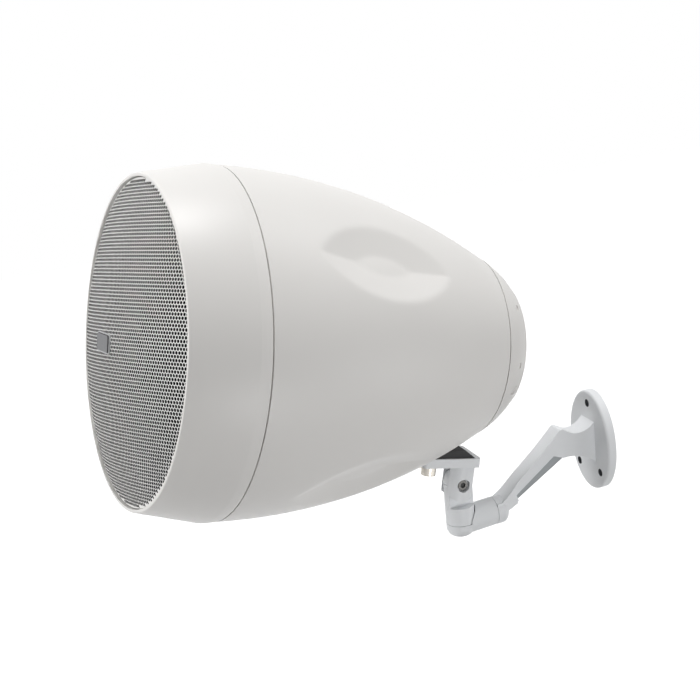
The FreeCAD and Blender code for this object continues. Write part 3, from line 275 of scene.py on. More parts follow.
def new_mesh(name, points, *face_sets, shades=None):
    """Mesh from an array of points and arrays of like faces, shaded smooth between creases.

    shades gives the material slot of each array of faces, where they don't all take the first.
    """
    mesh = bpy.data.meshes.new(name)
    corners = np.concatenate([faces.ravel() for faces in face_sets]).astype(np.int32)
    counts = np.concatenate([np.full(len(faces), faces.shape[1]) for faces in face_sets])
    mesh.vertices.add(len(points))
    mesh.vertices.foreach_set("co", points.astype(np.float32).ravel())
    mesh.loops.add(len(corners))
    mesh.loops.foreach_set("vertex_index", corners)
    mesh.polygons.add(len(counts))
    mesh.polygons.foreach_set("loop_start", (np.cumsum(counts) - counts).astype(np.int32))
    slots = np.repeat(shades or [0] * len(face_sets), [len(faces) for faces in face_sets])
    mesh.polygons.foreach_set("material_index", slots.astype(np.int32))
    mesh.update(calc_edges=True)
    mesh.validate()
    crease(mesh)
    return mesh


def crease(mesh):
    """Smooth shading that stops at edges sharper than CREASE."""
    mesh.shade_smooth()
    mesh.set_sharp_from_angle(angle=CREASE)


def place(mesh, body, materials, node):
    """Object for a finished mesh: rides on a body, takes a slot's finish, stands for a CAD node."""
    piece = bpy.data.objects.new(mesh.name, mesh)
    bpy.context.scene.collection.objects.link(piece)
    for material in materials:
        mesh.materials.append(material)
    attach(piece, body)
    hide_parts(node)
    return piece


def to_wall(s, r, angle):
    """Points of the wall frame at distance r from the axis, s along it and an angle about it."""
    around = np.sin(angle)[..., None] * SIDEWAYS + np.cos(angle)[..., None] * UPWARD
    return SEAM_CENTRE + s[..., None] * FORWARD + r[..., None] * around


def closed_grid(rows, columns):
    """Quads of a grid whose rows and columns both run round and meet their starts."""
    row, column = np.meshgrid(np.arange(rows), np.arange(columns), indexing="ij")
    below = (row + 1) % rows
    beside = (column + 1) % columns
    quads = np.stack((row * columns + column, row * columns + beside,
                      below * columns + beside, below * columns + column), axis=-1)
    return quads.reshape(-1, 4)


def rounded_loop(corners, radii):
    """Closed outline whose corner i is an arc of radius radii[i], tangent to both of its sides.

    The arc's centre lies on the corner's bisector at radius / sin(half angle), and its points turn
    evenly from one tangent point to the other. A corner of radius 0 stays a single point.
    """
    to_last = np.roll(corners, 1, axis=0) - corners
    to_next = np.roll(corners, -1, axis=0) - corners
    to_last /= np.linalg.norm(to_last, axis=1, keepdims=True)
    to_next /= np.linalg.norm(to_next, axis=1, keepdims=True)
    half = np.arccos(np.clip((to_last * to_next).sum(1), -1, 1)) / 2
    is_round = radii > 0
    half = np.where(is_round, half, math.pi / 4)
    bisector = to_last + to_next
    bisector /= np.maximum(np.linalg.norm(bisector, axis=1, keepdims=True), TINY)
    centre = corners + bisector * (radii / np.sin(half))[:, None]
    first = corners + to_last * (radii / np.tan(half))[:, None] - centre
    last = corners + to_next * (radii / np.tan(half))[:, None] - centre
    turn = (math.pi - 2 * half)[:, None]
    share = np.linspace(0, 1, ARC_STEPS)[None, :]
    before = np.sin((1 - share) * turn) / np.sin(turn)
    after = np.sin(share * turn) / np.sin(turn)
    points = (centre[:, None] + before[..., None] * first[:, None]
              + after[..., None] * last[:, None])
    keep = is_round[:, None] | (np.arange(ARC_STEPS) == 0)
    return points[keep]


def outward(loop):
    """The outline turned counter-clockwise, the sense in which a turned surface faces outwards."""
    s, r = loop.T
    area = (s * np.roll(r, -1) - r * np.roll(s, -1)).sum()
    return loop if area > 0 else loop[::-1]


def turned(outline):
    """Surface of an outline (s, r) turned about the axis: each point of it runs round a circle."""
    loop = outward(outline)
    angle = np.linspace(0, FULL_TURN, BEZEL_TURNS, endpoint=False)
    s, turn = np.meshgrid(loop[:, 0], angle, indexing="ij")
    r = np.broadcast_to(loop[:, 1][:, None], s.shape)
    return to_wall(s, r, turn).reshape(-1, 3), closed_grid(len(loop), BEZEL_TURNS)


def softened_copy(node):
    """Copy of a CAD node's mesh with its triangles merged into faces, ready for a Bevel."""
    mesh = bpy.data.meshes.new(node + "_dressed")
    work = bmesh.new()
    work.from_mesh(frame["nodes"][node].data)
    bmesh.ops.remove_doubles(work, verts=work.verts, dist=WELD)
    bmesh.ops.dissolve_limit(work, angle_limit=FLAT, verts=work.verts, edges=work.edges)
    work.to_mesh(mesh)
    work.free()
    normals = mesh.attributes.get("custom_normal")
    if normals:
        mesh.attributes.remove(normals)
    mesh.polygons.foreach_set("material_index", np.zeros(len(mesh.polygons), dtype=np.int32))
    crease(mesh)
    return mesh


def dress(node, material, edge):
    """Put a softened copy in a CAD node's place, on the node's own body."""
    body = frame["nodes"][node]["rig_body"]
    piece = place(softened_copy(node), body, [material], node)
    bevel = piece.modifiers.new("edge", "BEVEL")
    bevel.width = edge
    bevel.segments = sizes().corner_steps
    bevel.limit_method = "ANGLE"
    bevel.angle_limit = CREASE
    bevel.harden_normals = True
    return piece


def read(items, key, width, kind=np.float64):
    """One attribute of all of a mesh's points or faces as an array, a row for each."""
    values = np.empty(len(items) * width, dtype=kind)
    items.foreach_get(key, values)
    return values.reshape(-1, width)


def recoat(piece, chosen, material):
    """Give some faces of a piece another material: chosen picks them by centre and normal."""
    mesh = piece.data
    faces = mesh.polygons
    slots = read(faces, "material_index", 1, np.int32).ravel()
    slots[chosen(read(faces, "center", 3), read(faces, "normal", 3))] = len(mesh.materials)
    mesh.materials.append(material)
    faces.foreach_set("material_index", slots)


def ramp(distance, knots):
    """Share of a gain at a distance: straight between the knots' places in mm and their shares."""
    places, shares = knots
    return np.interp(distance / MM, places, shares)


def thicken_arm(mesh, size):
    """Move the arm's edges off its middle line, in the side view, and the wall plate's top edge up.

    A point's place along the line and off it are the products of its offset from the foot with the
    line's direction and normal. The top moves out once it is clear of the collar, the web's lower
    edge moves out more and more from the bend to the neck, and the deep pockets' upper edge rises
    at the foot. Points near the rim of the plate's ellipse are stretched upwards from its middle.
    """
    points = read(mesh.vertices, "co", 3)
    offset = points[:, 1:] - ARM_FOOT
    along = offset @ ARM_RUN
    off = offset @ ARM_RISE
    top = size.arm_top_gain * ramp(off, TOP_SIDE) * ramp(along, TOP_SPAN)
    web = np.abs(points[:, 0]) < size.arm_web / 2 + NEAR
    under = size.arm_under_gain * web * ramp(off, UNDER_SIDE) * ramp(along, UNDER_SPAN)
    edge = np.abs(off - POCKET_EDGE) < POCKET_NEAR
    pocket = size.pocket_gain * edge * ramp(along, POCKET_SPAN)
    shift = np.where(np.abs(off) < ARM_REACH, top - under + pocket, 0)
    points[:, 1:] += shift[:, None] * ARM_RISE
    across, _, up = (points / (size.plate_half_width, 1, size.plate_half_height)).T
    on_plate = points[:, 1] > -size.plate_thick - NEAR
    rim = (np.hypot(across, up) > PLATE_RIM) & (up > 0) & on_plate
    points[rim, 2] *= 1 + size.plate_gain / size.plate_half_height
    mesh.vertices.foreach_set("co", points.ravel())
    mesh.update()


def coat(material, *nodes):
    """Give CAD nodes that stay a material."""
    for node in nodes:
        mesh = frame["nodes"][node].data
        mesh.materials.clear()
        mesh.materials.append(material)


# Materials

def add(tree, kind, inputs=None, **settings):
    """One shader node: settings are its attributes, inputs are values or sockets to link from."""
    made = tree.nodes.new(kind)
    for key, value in settings.items():
        setattr(made, key, value)
    for key, value in (inputs or {}).items():
        socket = made.inputs[key]
        if isinstance(value, bpy.types.NodeSocket):
            tree.links.new(value, socket)
        else:
            socket.default_value = value
    return made


def blank_material(name):
    """Material with an empty node tree."""
    material = bpy.data.materials.new(name)
    material.use_nodes = True
    material.node_tree.nodes.clear()
    return material


def finish(name, colour, roughness, grain, height, metallic=0.0, tone=0.03, patch=40 * MM):
    """Surface with a fine grain and faint patches of tone.

    grain is the size of the grain and height its depth. patch is the size of the patches, in which
    the colour darkens by the share tone.
    """
    material = blank_material(name)
    tree = material.node_tree
    place_in = add(tree, "ShaderNodeTexCoord").outputs["Object"]
    grains = add(tree, "ShaderNodeTexNoise", {
        "Vector": place_in, "Scale": 1 / grain, "Detail": 3.0})
    bump = add(tree, "ShaderNodeBump", {
        "Height": grains.outputs["Fac"], "Distance": height, "Strength": 1.0})
    patches = add(tree, "ShaderNodeTexNoise", {
        "Vector": place_in, "Scale": 1 / patch, "Detail": 2.0})
    dark = (*(channel * (1 - tone) for channel in colour[:3]), 1.0)
    mixed = add(tree, "ShaderNodeMix", {
        MIX_FACTOR: patches.outputs["Fac"], MIX_FIRST: colour, MIX_SECOND: dark}, data_type="RGBA")
    shader = add(tree, "ShaderNodeBsdfPrincipled", {
        "Base Color": mixed.outputs[MIX_RESULT], "Roughness": roughness, "Metallic": metallic,
        "Normal": bump.outputs["Normal"]})
    add(tree, "ShaderNodeOutputMaterial", {"Surface": shader.outputs["BSDF"]})
    return material


def woven(name, colour, thread):
    """Open plain weave: two sets of waves, one thread apart, raise the threads where both rise."""
    material = blank_material(name)
    tree = material.node_tree
    place_in = add(tree, "ShaderNodeTexCoord").outputs["Object"]
    waves = {"Vector": place_in, "Scale": FULL_TURN / thread / WAVE_PHASE}
    warp = add(tree, "ShaderNodeTexWave", waves, bands_direction="X")
    weft = add(tree, "ShaderNodeTexWave", waves, bands_direction="Z")
    weave = add(tree, "ShaderNodeMath", {0: warp.outputs["Fac"], 1: weft.outputs["Fac"]},
                operation="MULTIPLY")
    bump = add(tree, "ShaderNodeBump", {"Height": weave.outputs[0], "Distance": thread / 4})
    shader = add(tree, "ShaderNodeBsdfPrincipled", {
        "Base Color": colour, "Roughness": 0.95, "Specular IOR Level": 0.05,
        "Normal": bump.outputs["Normal"]})
    add(tree, "ShaderNodeOutputMaterial", {"Surface": shader.outputs["BSDF"]})
    return material


# Injection-moulded ABS with a spark-eroded grain: a warm white with a broad, soft sheen. The grain
# is drawn coarser than the real one, so that it shows.
def moulded_abs():
    name = "moulded ABS"
    return bpy.data.materials.get(name) or finish(
        name, colours().housing, 0.42, 0.7 * MM, 0.012 * MM)


# Compression-moulded black EPDM rubber: dull and nearly without a highlight
def moulded_rubber():
    name = "EPDM rubber"
    return bpy.data.materials.get(name) or finish(
        name, colours().rubber, 0.7, 0.5 * MM, 0.02 * MM, tone=0.2)


# Polyester powder coat over a zinc casting: a cool white, with the faint ripple of orange peel
def coated_casting():
    name = "powder-coated casting"
    return bpy.data.materials.get(name) or finish(
        name, colours().bracket, 0.4, 1.3 * MM, 0.012 * MM)


# Shell and bezel

def shell_arc(size):
    """Centre (s, r) and radius of the circle through the shell's seam, middle and rear points."""
    points = np.array(((0.0, size.seam_radius), (-size.shell_length / 2, size.shell_mid_radius),
                       (-size.shell_length, size.shell_rear_radius)))
    squares = (points ** 2).sum(1)
    chords = 2 * (points[1:] - points[0])
    centre = np.linalg.solve(chords, squares[1:] - squares[0])
    return centre, np.linalg.norm(points[0] - centre)


def soft_max(value, width):
    """The larger of value and 0, with the corner at 0 rounded over width on either side."""
    share = np.clip(0.5 + 0.5 * value / width, 0, 1)
    return value * share + width * share * (1 - share)


def dimple_depth(size, along, across, radius):
    """Depth of a boat-shaped dimple below the shell.

    Its keel rises with the square of the distance along, its flanks slope up to both sides, and
    the shell's own curve across is taken off. A floor cuts the keel, and the outline is rounded.
    """
    keel = size.dimple_depth * (1 - (along / size.dimple_half_length) ** 2)
    flanks = np.abs(across) * math.tan(size.dimple_slope) + across ** 2 / (2 * radius)
    below_floor = soft_max(size.dimple_floor - (keel - flanks), size.dimple_soft / 3)
    return soft_max(size.dimple_floor - below_floor, size.dimple_soft)


def shell_surface(size):
    """Shell wall turned about the axis: an arc outside, one a wall thinner inside, a rear flange.

    Four dimples, at 45 degrees to up and across, push the wall in along the arc's own radius.
    """
    centre, radius = shell_arc(size)
    start = -size.seam_gap / 2
    outer_s = np.linspace(start, -size.shell_length, SHELL_ROWS)
    inner_s = np.linspace(size.rear_flange - size.shell_length, start, INNER_ROWS)
    outer_r = centre[1] + np.sqrt(radius ** 2 - (outer_s - centre[0]) ** 2)
    inner_r = centre[1] + np.sqrt((radius - size.shell_wall) ** 2 - (inner_s - centre[0]) ** 2)
    corners = np.concatenate((
        np.column_stack((outer_s, outer_r)),
        ((-size.shell_length, size.rear_opening), (inner_s[0], size.rear_opening)),
        np.column_stack((inner_s, inner_r))))
    radii = np.zeros(len(corners))
    radii[[0, SHELL_ROWS - 1]] = SEAM_EDGE
    loop = outward(rounded_loop(corners, radii))
    spoke = loop - centre
    unit = spoke / np.linalg.norm(spoke, axis=1, keepdims=True)
    s, r = loop.T[..., None]
    unit_s, unit_r = unit.T[..., None]
    middle_r = centre[1] + math.sqrt(radius ** 2 - (size.dimple_place - centre[0]) ** 2)
    middle = math.atan2(middle_r - centre[1], size.dimple_place - centre[0])
    along = radius * (np.arctan2(unit_r, unit_s) - middle)
    angle = np.linspace(0, FULL_TURN, SHELL_TURNS, endpoint=False)
    quarter = FULL_TURN / 4
    across = (angle % quarter - quarter / 2) * r
    sunk = dimple_depth(size, along, across, r)
    turn = np.broadcast_to(angle, sunk.shape)
    points = to_wall(s - sunk * unit_s, r - sunk * unit_r, turn).reshape(-1, 3)
    return points, closed_grid(len(loop), SHELL_TURNS)


def bezel_surface(size):
    """Bezel section turned about the axis: spigot, bulging skirt, rounded rim, recess and seat."""
    bulge = np.linspace(0, 1, BEZEL_ROWS)
    skirt_s = size.seam_gap / 2 + (size.bezel_bulge_place - size.seam_gap / 2) * bulge
    rise = size.bezel_bulge_radius - size.seam_radius
    skirt_r = size.seam_radius + rise * (1 - (1 - bulge) ** 2)
    inner = size.spigot_radius - size.spigot_wall
    step = size.spigot_back + size.spigot_flange
    seat_back = size.seat_place - size.seat_thick
    front = np.array((
        (size.bezel_length, size.bezel_front_radius), (size.bezel_length, size.lip_radius),
        (size.seat_place, size.lip_radius), (size.seat_place, size.seat_radius),
        (seat_back, size.seat_radius), (seat_back, size.bezel_front_radius - size.bezel_wall),
        (size.bezel_bulge_place, size.bezel_bulge_radius - size.bezel_wall),
        (step, size.spigot_radius - size.bezel_wall), (step, inner), (size.spigot_back, inner),
        (size.spigot_back, size.spigot_radius), (skirt_s[0], size.spigot_radius)))
    corners = np.concatenate((np.column_stack((skirt_s, skirt_r)), front))
    radii = np.zeros(len(corners))
    radii[0] = SEAM_EDGE / 2
    radii[BEZEL_ROWS] = size.rim_round
    radii[BEZEL_ROWS + 1] = SEAM_EDGE
    return turned(rounded_loop(corners, radii))


class SPEAKER_OT_rear_shell(bpy.types.Operator):
    """Make the moulded shell with its four dimples"""

    bl_idname = "speaker.rear_shell"
    bl_label = "Rear shell"

    def execute(self, context):
        mesh = new_mesh("shell_skin", *shell_surface(sizes()))
        place(mesh, "head", [moulded_abs()], "rear_shell")
        return {"FINISHED"}


class SPEAKER_OT_front_bezel(bpy.types.Operator):
    """Make the bezel that holds the grille"""

    bl_idname = "speaker.front_bezel"
    bl_label = "Front bezel"

    def execute(self, context):
        mesh = new_mesh("bezel_skin", *bezel_surface(sizes()))
        place(mesh, "head", [moulded_abs()], "front_bezel")
        return {"FINISHED"}


# Grille and badge

def dome_height(size, r):
    """Place along the axis of the grille's face: a sphere through its top and its edge."""
    radius = (size.grille_radius ** 2 + size.grille_rise ** 2) / (2 * size.grille_rise)
    return size.grille_edge + size.grille_rise - radius + np.sqrt(radius ** 2 - r ** 2)


def hole_lattice(size):
    """Flat perforated disc, one side: points, faces, each hole's corners, and points on the rim.

    Holes are hexagons as large as the round holes, centred on a triangular lattice, with a flat
    side towards each neighbour. A quad joins each pair of neighbours and a triangle each three.
    Cells of the border have no hole, and points beyond the disc are drawn in to its edge.
    """
    pitch = size.hole_pitch
    widest = size.grille_radius + pitch
    # The lattice leans, so its steps go 2 / sqrt(3) times as far as the disc's radius
    reach = int(widest / pitch * 2 / math.sqrt(3)) + EMPTY_CELLS
    step = np.arange(-reach, reach + 1)
    i, j = np.meshgrid(step, step, indexing="ij")
    x = pitch * (i + j / 2)
    y = pitch * j * math.sqrt(3) / 2
    from_middle = np.hypot(x, y)
    used = from_middle < widest
    index = np.full(used.shape, -1)
    index[used] = np.arange(used.sum())
    corner_r = size.hole_size / 2 * math.sqrt(FULL_TURN / (3 * math.sqrt(3)))
    turn = FULL_TURN / HEX * (np.arange(HEX) + 0.5)
    points = np.stack((x[used][:, None] + corner_r * np.cos(turn),
                       y[used][:, None] + corner_r * np.sin(turn)), axis=-1).reshape(-1, 2)

    def shifted(di, dj):
        """Index of the cell di, dj further on, or -1."""
        return np.roll(index, (-di, -dj), axis=(0, 1))[used]

    here = index[used]

    def faces(*cell_corners):
        """Faces that join corner k of each named cell, where all of those cells exist."""
        whole = np.all([cell >= 0 for cell, _ in cell_corners], axis=0)
        return np.stack([cell[whole] * HEX + k % HEX for cell, k in cell_corners], axis=-1)

    ways = (shifted(1, 0), shifted(0, 1), shifted(-1, 1))
    quads = [faces((here, d - 1), (cell, d + 3), (cell, d + 2), (here, d))
             for d, cell in enumerate(ways)]
    right, above, left = ways
    triangles = np.concatenate((faces((here, 0), (right, 2), (above, 4)),
                                faces((here, 1), (above, 3), (left, 5))))
    open_cell = from_middle[used] < size.grille_radius - size.hole_border
    solid = here[~open_cell][:, None] * HEX
    holes = here[open_cell][:, None] * HEX + np.arange(HEX)
    quads += [solid + np.array((0, 1, 2, 3)), solid + np.array((0, 3, 4, 5))]
    outside = np.hypot(*points.T)
    on_edge = outside > size.grille_radius
    points = points * np.where(on_edge, size.grille_radius / outside, 1)[:, None]
    quads = np.concatenate(quads)
    quads = quads[~on_edge[quads].all(1)]
    triangles = triangles[~on_edge[triangles].all(1)]
    return points, quads, triangles, holes, on_edge


def free_edges(quads, triangles, on_edge):
    """Directed edges along the disc's rim: both ends lie on it, and no face runs the other way."""
    edges = np.concatenate([np.stack((faces, np.roll(faces, -1, axis=1)), axis=-1).reshape(-1, 2)
                            for faces in (quads, triangles)])
    edges = edges[on_edge[edges].all(1)]
    base = len(on_edge)
    forward = edges[:, 0] * base + edges[:, 1]
    return edges[~np.isin(forward, edges[:, 1] * base + edges[:, 0])]


def grille_surface(size):
    """Perforated dome: the flat lattice raised to the sphere, twice, and closed at holes and rim.

    Returns the points, the quads of the sheet, the quads of the hole walls, and the triangles.
    """
    flat, quads, triangles, holes, on_edge = hole_lattice(size)
    x, y = flat.T
    r = np.hypot(x, y)
    angle = np.arctan2(x, y) - size.grille_roll
    face_s = dome_height(size, r)
    front = to_wall(face_s, r, angle)
    back = to_wall(face_s - size.grille_sheet, r, angle)
    count = len(front)
    following = np.roll(holes, -1, axis=1)
    walls = np.stack((holes, following, following + count, holes + count), axis=-1)
    rim = free_edges(quads, triangles, on_edge)
    band = np.stack((rim[:, 1], rim[:, 0], rim[:, 0] + count, rim[:, 1] + count), axis=-1)
    sheet = np.concatenate((quads, quads[:, ::-1] + count, band))
    webs = np.concatenate((triangles, triangles[:, ::-1] + count))
    points = np.concatenate((front, back))
    return points, sheet[:, ::-1], walls.reshape(-1, 4)[:, ::-1], webs[:, ::-1]


def hem_surface(size):
    """Hem of the grille: a plain ring from the seat up to the back of the perforated sheet."""
    top = size.grille_edge - size.grille_sheet
    inner = size.grille_radius - size.grille_sheet
    return turned(np.array(((size.seat_place, inner), (size.seat_place, size.grille_radius),
                            (top, size.grille_radius), (top, inner))))


class SPEAKER_OT_grille(bpy.types.Operator):
    """Make the perforated dome, its hem, and the cloth behind it"""

    bl_idname = "speaker.grille"
    bl_label = "Grille"

    def execute(self, context):
        # Steel sheet with a matt powder coat: an even white without gloss
        coating = finish("powder-coated sheet", colours().grille, 0.5, 1.0 * MM, 0.006 * MM)
        # Painted shade on the walls of each punched hole: near black, so that the holes look deep
        # and shaded
        painted_shade = finish("painted hole shade", colours().painted_shade, 0.6, 0.2 * MM, 0.004 * MM)
        mesh = new_mesh("grille_perforated", *grille_surface(sizes()), shades=[0, 1, 0])
        place(mesh, "head", [coating, painted_shade], "grille")
        # The hem takes the same painted shade, so that the gap between the hem and the bezel's lip
        # reads dark
        mesh = new_mesh("grille_hem", *hem_surface(sizes()))
        place(mesh, "head", [painted_shade], "grille")
        # Thin black polyester cloth, plain woven: a flat black behind the holes. The threads are
        # drawn coarser than the real ones, so that they show.
        coat(woven("polyester scrim", colours().cloth, 0.6 * MM), "grille_scrim")
        return {"FINISHED"}


def badge_surface(size):
    """Blank badge: a profile of insets and heights carried round a rectangle with rounded corners.

    From the dome up: the tray's side and top, a groove, the side and rim of the plate, and its flat
    face. Returns the points, then the quads of tray, groove and plate, and the plate's face.
    """
    top = size.grille_edge + size.grille_rise + size.badge_raise
    ledge = top - size.badge_step
    floor = ledge - size.badge_groove_depth
    foot = dome_height(size, math.hypot(size.badge_length, size.badge_height) / 2)
    frame_in = size.badge_frame
    plate_out = frame_in + size.badge_groove
    profile = np.array((
        (0.0, foot), (0.0, ledge - size.badge_tray_edge), (size.badge_tray_edge, ledge),
        (frame_in, ledge), (frame_in, floor), (plate_out, floor),
        (plate_out, top - size.badge_plate_edge), (plate_out + size.badge_plate_edge, top)))
    inset, height = profile.T
    half = np.array((size.badge_length, size.badge_height)) / 2
    signs = np.array(((1, 1), (-1, 1), (-1, -1), (1, -1)))
    corner = rounded_loop(signs * half, np.full(4, size.badge_corner))
    toward = np.sign(corner)
    path = corner[None] - inset[:, None, None] * toward[None]
    across, up = path[..., 0], path[..., 1]
    angle = np.arctan2(across, up) - size.badge_roll
    s = np.broadcast_to(height[:, None], across.shape)
    points = to_wall(s, np.hypot(across, up), angle).reshape(-1, 3)
    count = len(corner)
    quads = closed_grid(len(inset), count)[:-count].reshape(len(inset) - 1, count, 4)
    tray, groove, plate = (part.reshape(-1, 4) for part in (quads[:3], quads[3:6], quads[6:]))
    face = np.arange(count)[None, :] + (len(inset) - 1) * count
    return points, tray, groove, plate, face


class SPEAKER_OT_badge(bpy.types.Operator):
    """Make the blank badge on the grille"""

    bl_idname = "speaker.badge"
    bl_label = "Badge"

    def execute(self, context):
        # Satin anodised aluminium: a soft grey sheen
        tray = finish("anodised aluminium", colours().badge, 0.45, 0.3 * MM, 0.004 * MM,
                      metallic=0.3)
        # Painted shade in the groove and on the plate's edge: a thin dark outline where the side
        # walls fall in shade
        groove_shade = finish("painted groove shade", colours().painted_shade, 0.5, 0.4 * MM, 0.004 * MM)
        # Blasted aluminium: a fine sparkling grain
        plate = finish("blasted aluminium", colours().badge_plate, 0.5, 0.5 * MM, 0.05 * MM,
                       metallic=0.3, tone=0.2, patch=2 * MM)
        mesh = new_mesh("badge_plate", *badge_surface(sizes()), shades=[0, 1, 2, 2])
        place(mesh, "head", [tray, groove_shade, plate], "badge")
        return {"FINISHED"}


# Other pieces

class SPEAKER_OT_rear_cap(bpy.types.Operator):
    """Dress the rear cap and its cable gland"""

    bl_idname = "speaker.rear_cap"
    bl_label = "Rear cap"

    def execute(self, context):
        dress("rear_cap", moulded_abs(), sizes().moulded_edge)
        # Moulded grey nylon: a smooth, slightly waxy grey
        nylon = finish("nylon", linear("8f9294"), 0.45, 0.6 * MM, 0.01 * MM)
        dress("cable_gland", nylon, sizes().moulded_edge)
        coat(nylon, "gland_nut")
        return {"FINISHED"}


class SPEAKER_OT_saddle(bpy.types.Operator):
    """Dress the rubber saddle and the gaskets"""

    bl_idname = "speaker.saddle"
    bl_label = "Saddle"

    def execute(self, context):
        dress("saddle_pad", moulded_rubber(), sizes().rubber_edge)
        coat(moulded_rubber(), "bezel_gasket", "cap_gasket")
        return {"FINISHED"}


class SPEAKER_OT_bracket(bpy.types.Operator):
    """Dress the four castings of the bracket"""

    bl_idname = "speaker.bracket"
    bl_label = "Bracket"

    def execute(self, context):
        for node in ("head_clevis", "clevis_post", "elbow"):
            dress(node, coated_casting(), sizes().casting_edge)
        arm = dress("wall_arm", coated_casting(), sizes().casting_edge)
        thicken_arm(arm.data, sizes())
        # Painted shade: the same powder coat, a darker grey on the deep pockets' floors, where
        # shade falls
        pocket_shade_coat = finish("painted pocket shade", colours().recess, 0.5, 1.3 * MM, 0.012 * MM)
        half_web = sizes().arm_web / 2

        def in_pocket(centre, normal):
            """Floors of the deep pockets, which lie on the web."""
            on_web = np.abs(np.abs(centre[:, 0]) - half_web) < NEAR
            return on_web & (np.abs(normal[:, 0]) > LEVEL)

        recoat(arm, in_pocket, pocket_shade_coat)
        # Painted shade on the walls of the wall holes: a dark, dry grey
        wall_hole_shade = finish("painted wall hole shade", colours().wall_hole_shade, 0.7, 0.4 * MM, 0.01 * MM)
        reach = sizes().wall_hole + NEAR

        def in_wall_hole(centre, normal):
            """Walls of the three holes, which run square to the wall."""
            away = np.linalg.norm(centre[:, None, ::2] - WALL_HOLES, axis=2)
            return np.any(away < reach, axis=1) & (np.abs(normal[:, 1]) < 1 - LEVEL)

        recoat(arm, in_wall_hole, wall_hole_shade)
        return {"FINISHED"}


class SPEAKER_OT_fasteners(bpy.types.Operator):
    """Dress the screws, nuts, washers and inserts"""

    bl_idname = "speaker.fasteners"
    bl_label = "Fasteners"

    def execute(self, context):
        # Nickel-plated steel: a bright reflection, a little warm
        nickel = finish("nickel-plated steel", colours().nickel, 0.3, 0.2 * MM, 0.003 * MM,
                        metallic=1.0)
        for node in ("mount_screws", "pivot_nut"):
            dress(node, nickel, sizes().screw_edge)
        # Steel darkened as painted shade, for the shadow of the counterbore round the head: a dim
        # reflection
        shaded_pivot_steel = finish("pivot steel with painted shade", colours().pivot, 0.25, 0.2 * MM, 0.003 * MM,
                           metallic=1.0)
        bolt = dress("pivot_bolt", shaded_pivot_steel, sizes().screw_edge)
        low, high = (np.array(corner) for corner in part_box("pivot_bolt"))
        axis = (low + high) / 2
        # Painted shade in the socket, which keeps it black
        socket_shade = finish("painted socket shade", colours().socket, 0.5, 0.2 * MM, 0.003 * MM)
        socket_reach = sizes().socket_reach

        def in_socket(centre, normal):
            """Faces round the axis at the head's end, below the head's own face."""
            from_axis = np.hypot(*(centre - axis)[:, 1:].T)
            sunk = (centre[:, 0] > axis[0]) & (centre[:, 0] < high[0] - NEAR)
            return sunk & (from_axis < socket_reach)

        recoat(bolt, in_socket, socket_shade)
        # Bright zinc plating: a cool, slightly cloudy reflection
        zinc = finish("zinc-plated steel", linear("c2c4c4"), 0.32, 0.2 * MM, 0.003 * MM,
                      metallic=1.0)
        for node in ("cap_screws", "pan_screw"):
            dress(node, zinc, sizes().screw_edge)
        coat(zinc, "bezel_screws", "driver_screws", "transformer_screws", "transformer_clips",
             "pivot_washers", "swivel_screw")
        # Turned brass: yellow and bright
        coat(finish("turned brass", linear("c9a55b"), 0.3, 0.2 * MM, 0.003 * MM, metallic=1.0),
             "mount_inserts")
        return {"FINISHED"}


class SPEAKER_OT_inside(bpy.types.Operator):
    """Colour the baffle, the driver, the transformer and the terminal block"""

    bl_idname = "speaker.inside"
    bl_label = "Inside"

    def execute(self, context):
        # Medium-density fibreboard, pressed and routed: brown and finely flecked
        coat(finish("fibreboard", linear("9a7f5e"), 0.8, 0.8 * MM, 0.03 * MM, tone=0.25,
                    patch=4 * MM), "baffle")
        # Black stoved enamel on pressed steel: a hard gloss
        coat(finish("stoved enamel", linear("1b1c1e"), 0.35, 0.8 * MM, 0.005 * MM),
             "driver_basket")
        # Felted pulp paper: dark and fibrous
        coat(finish("pulp paper", linear("3a3733"), 0.85, 0.9 * MM, 0.04 * MM, tone=0.3,
                    patch=3 * MM), "driver_cone", "whizzer_cone", "dust_cap")
        # Moulded butyl rubber: a dull black roll
        coat(finish("butyl rubber", linear("1d1d1f"), 0.6, 0.6 * MM, 0.01 * MM), "driver_surround")
        # Wound enamelled copper wire: a reddish shine
        coat(finish("enamelled copper", linear("a5592f"), 0.3, 0.3 * MM, 0.02 * MM, metallic=1.0),
             "voice_coil", "transformer_coil")
        # Resin-dipped cotton, pressed in waves: amber and matt
        coat(finish("dipped cotton", linear("b98b4a"), 0.8, 0.5 * MM, 0.05 * MM), "spider")
        # Sintered ferrite, as ground: dark grey and chalky
        coat(finish("sintered ferrite", linear("2c2c2f"), 0.7, 0.4 * MM, 0.02 * MM),
             "driver_magnet")
        # Plain low-carbon steel, turned or stamped: a grey shine
        coat(finish("low-carbon steel", linear("8d8f90"), 0.4, 0.3 * MM, 0.005 * MM, metallic=1.0),
             "driver_top_plate", "driver_yoke", "transformer_core")
        # Moulded white polyamide: off-white with a low gloss
        coat(finish("polyamide", linear("dcdad4"), 0.5, 0.5 * MM, 0.01 * MM), "terminal_block")
        return {"FINISHED"}


# Stage

# Camera as fitted to the photograph: place, turn about X, Y and Z, and focal length in mm
CAMERA_PLACE = (1.08114, -0.60781, 0.48997)
CAMERA_TURN = tuple(math.radians(degrees) for degrees in (71.582, 4.979, 66.754))
CAMERA_LENS = 96.485

# Floor: depth below the wall plate's middle and width in metres, glow where it is seen directly,
# and the colour that it throws back
FLOOR_BELOW = 0.9
FLOOR_SIZE = 8.0
FLOOR_GLOW = 0.85
FLOOR_BOUNCE = "404040"

# Strength of the even light from all round
AMBIENT = 0.32

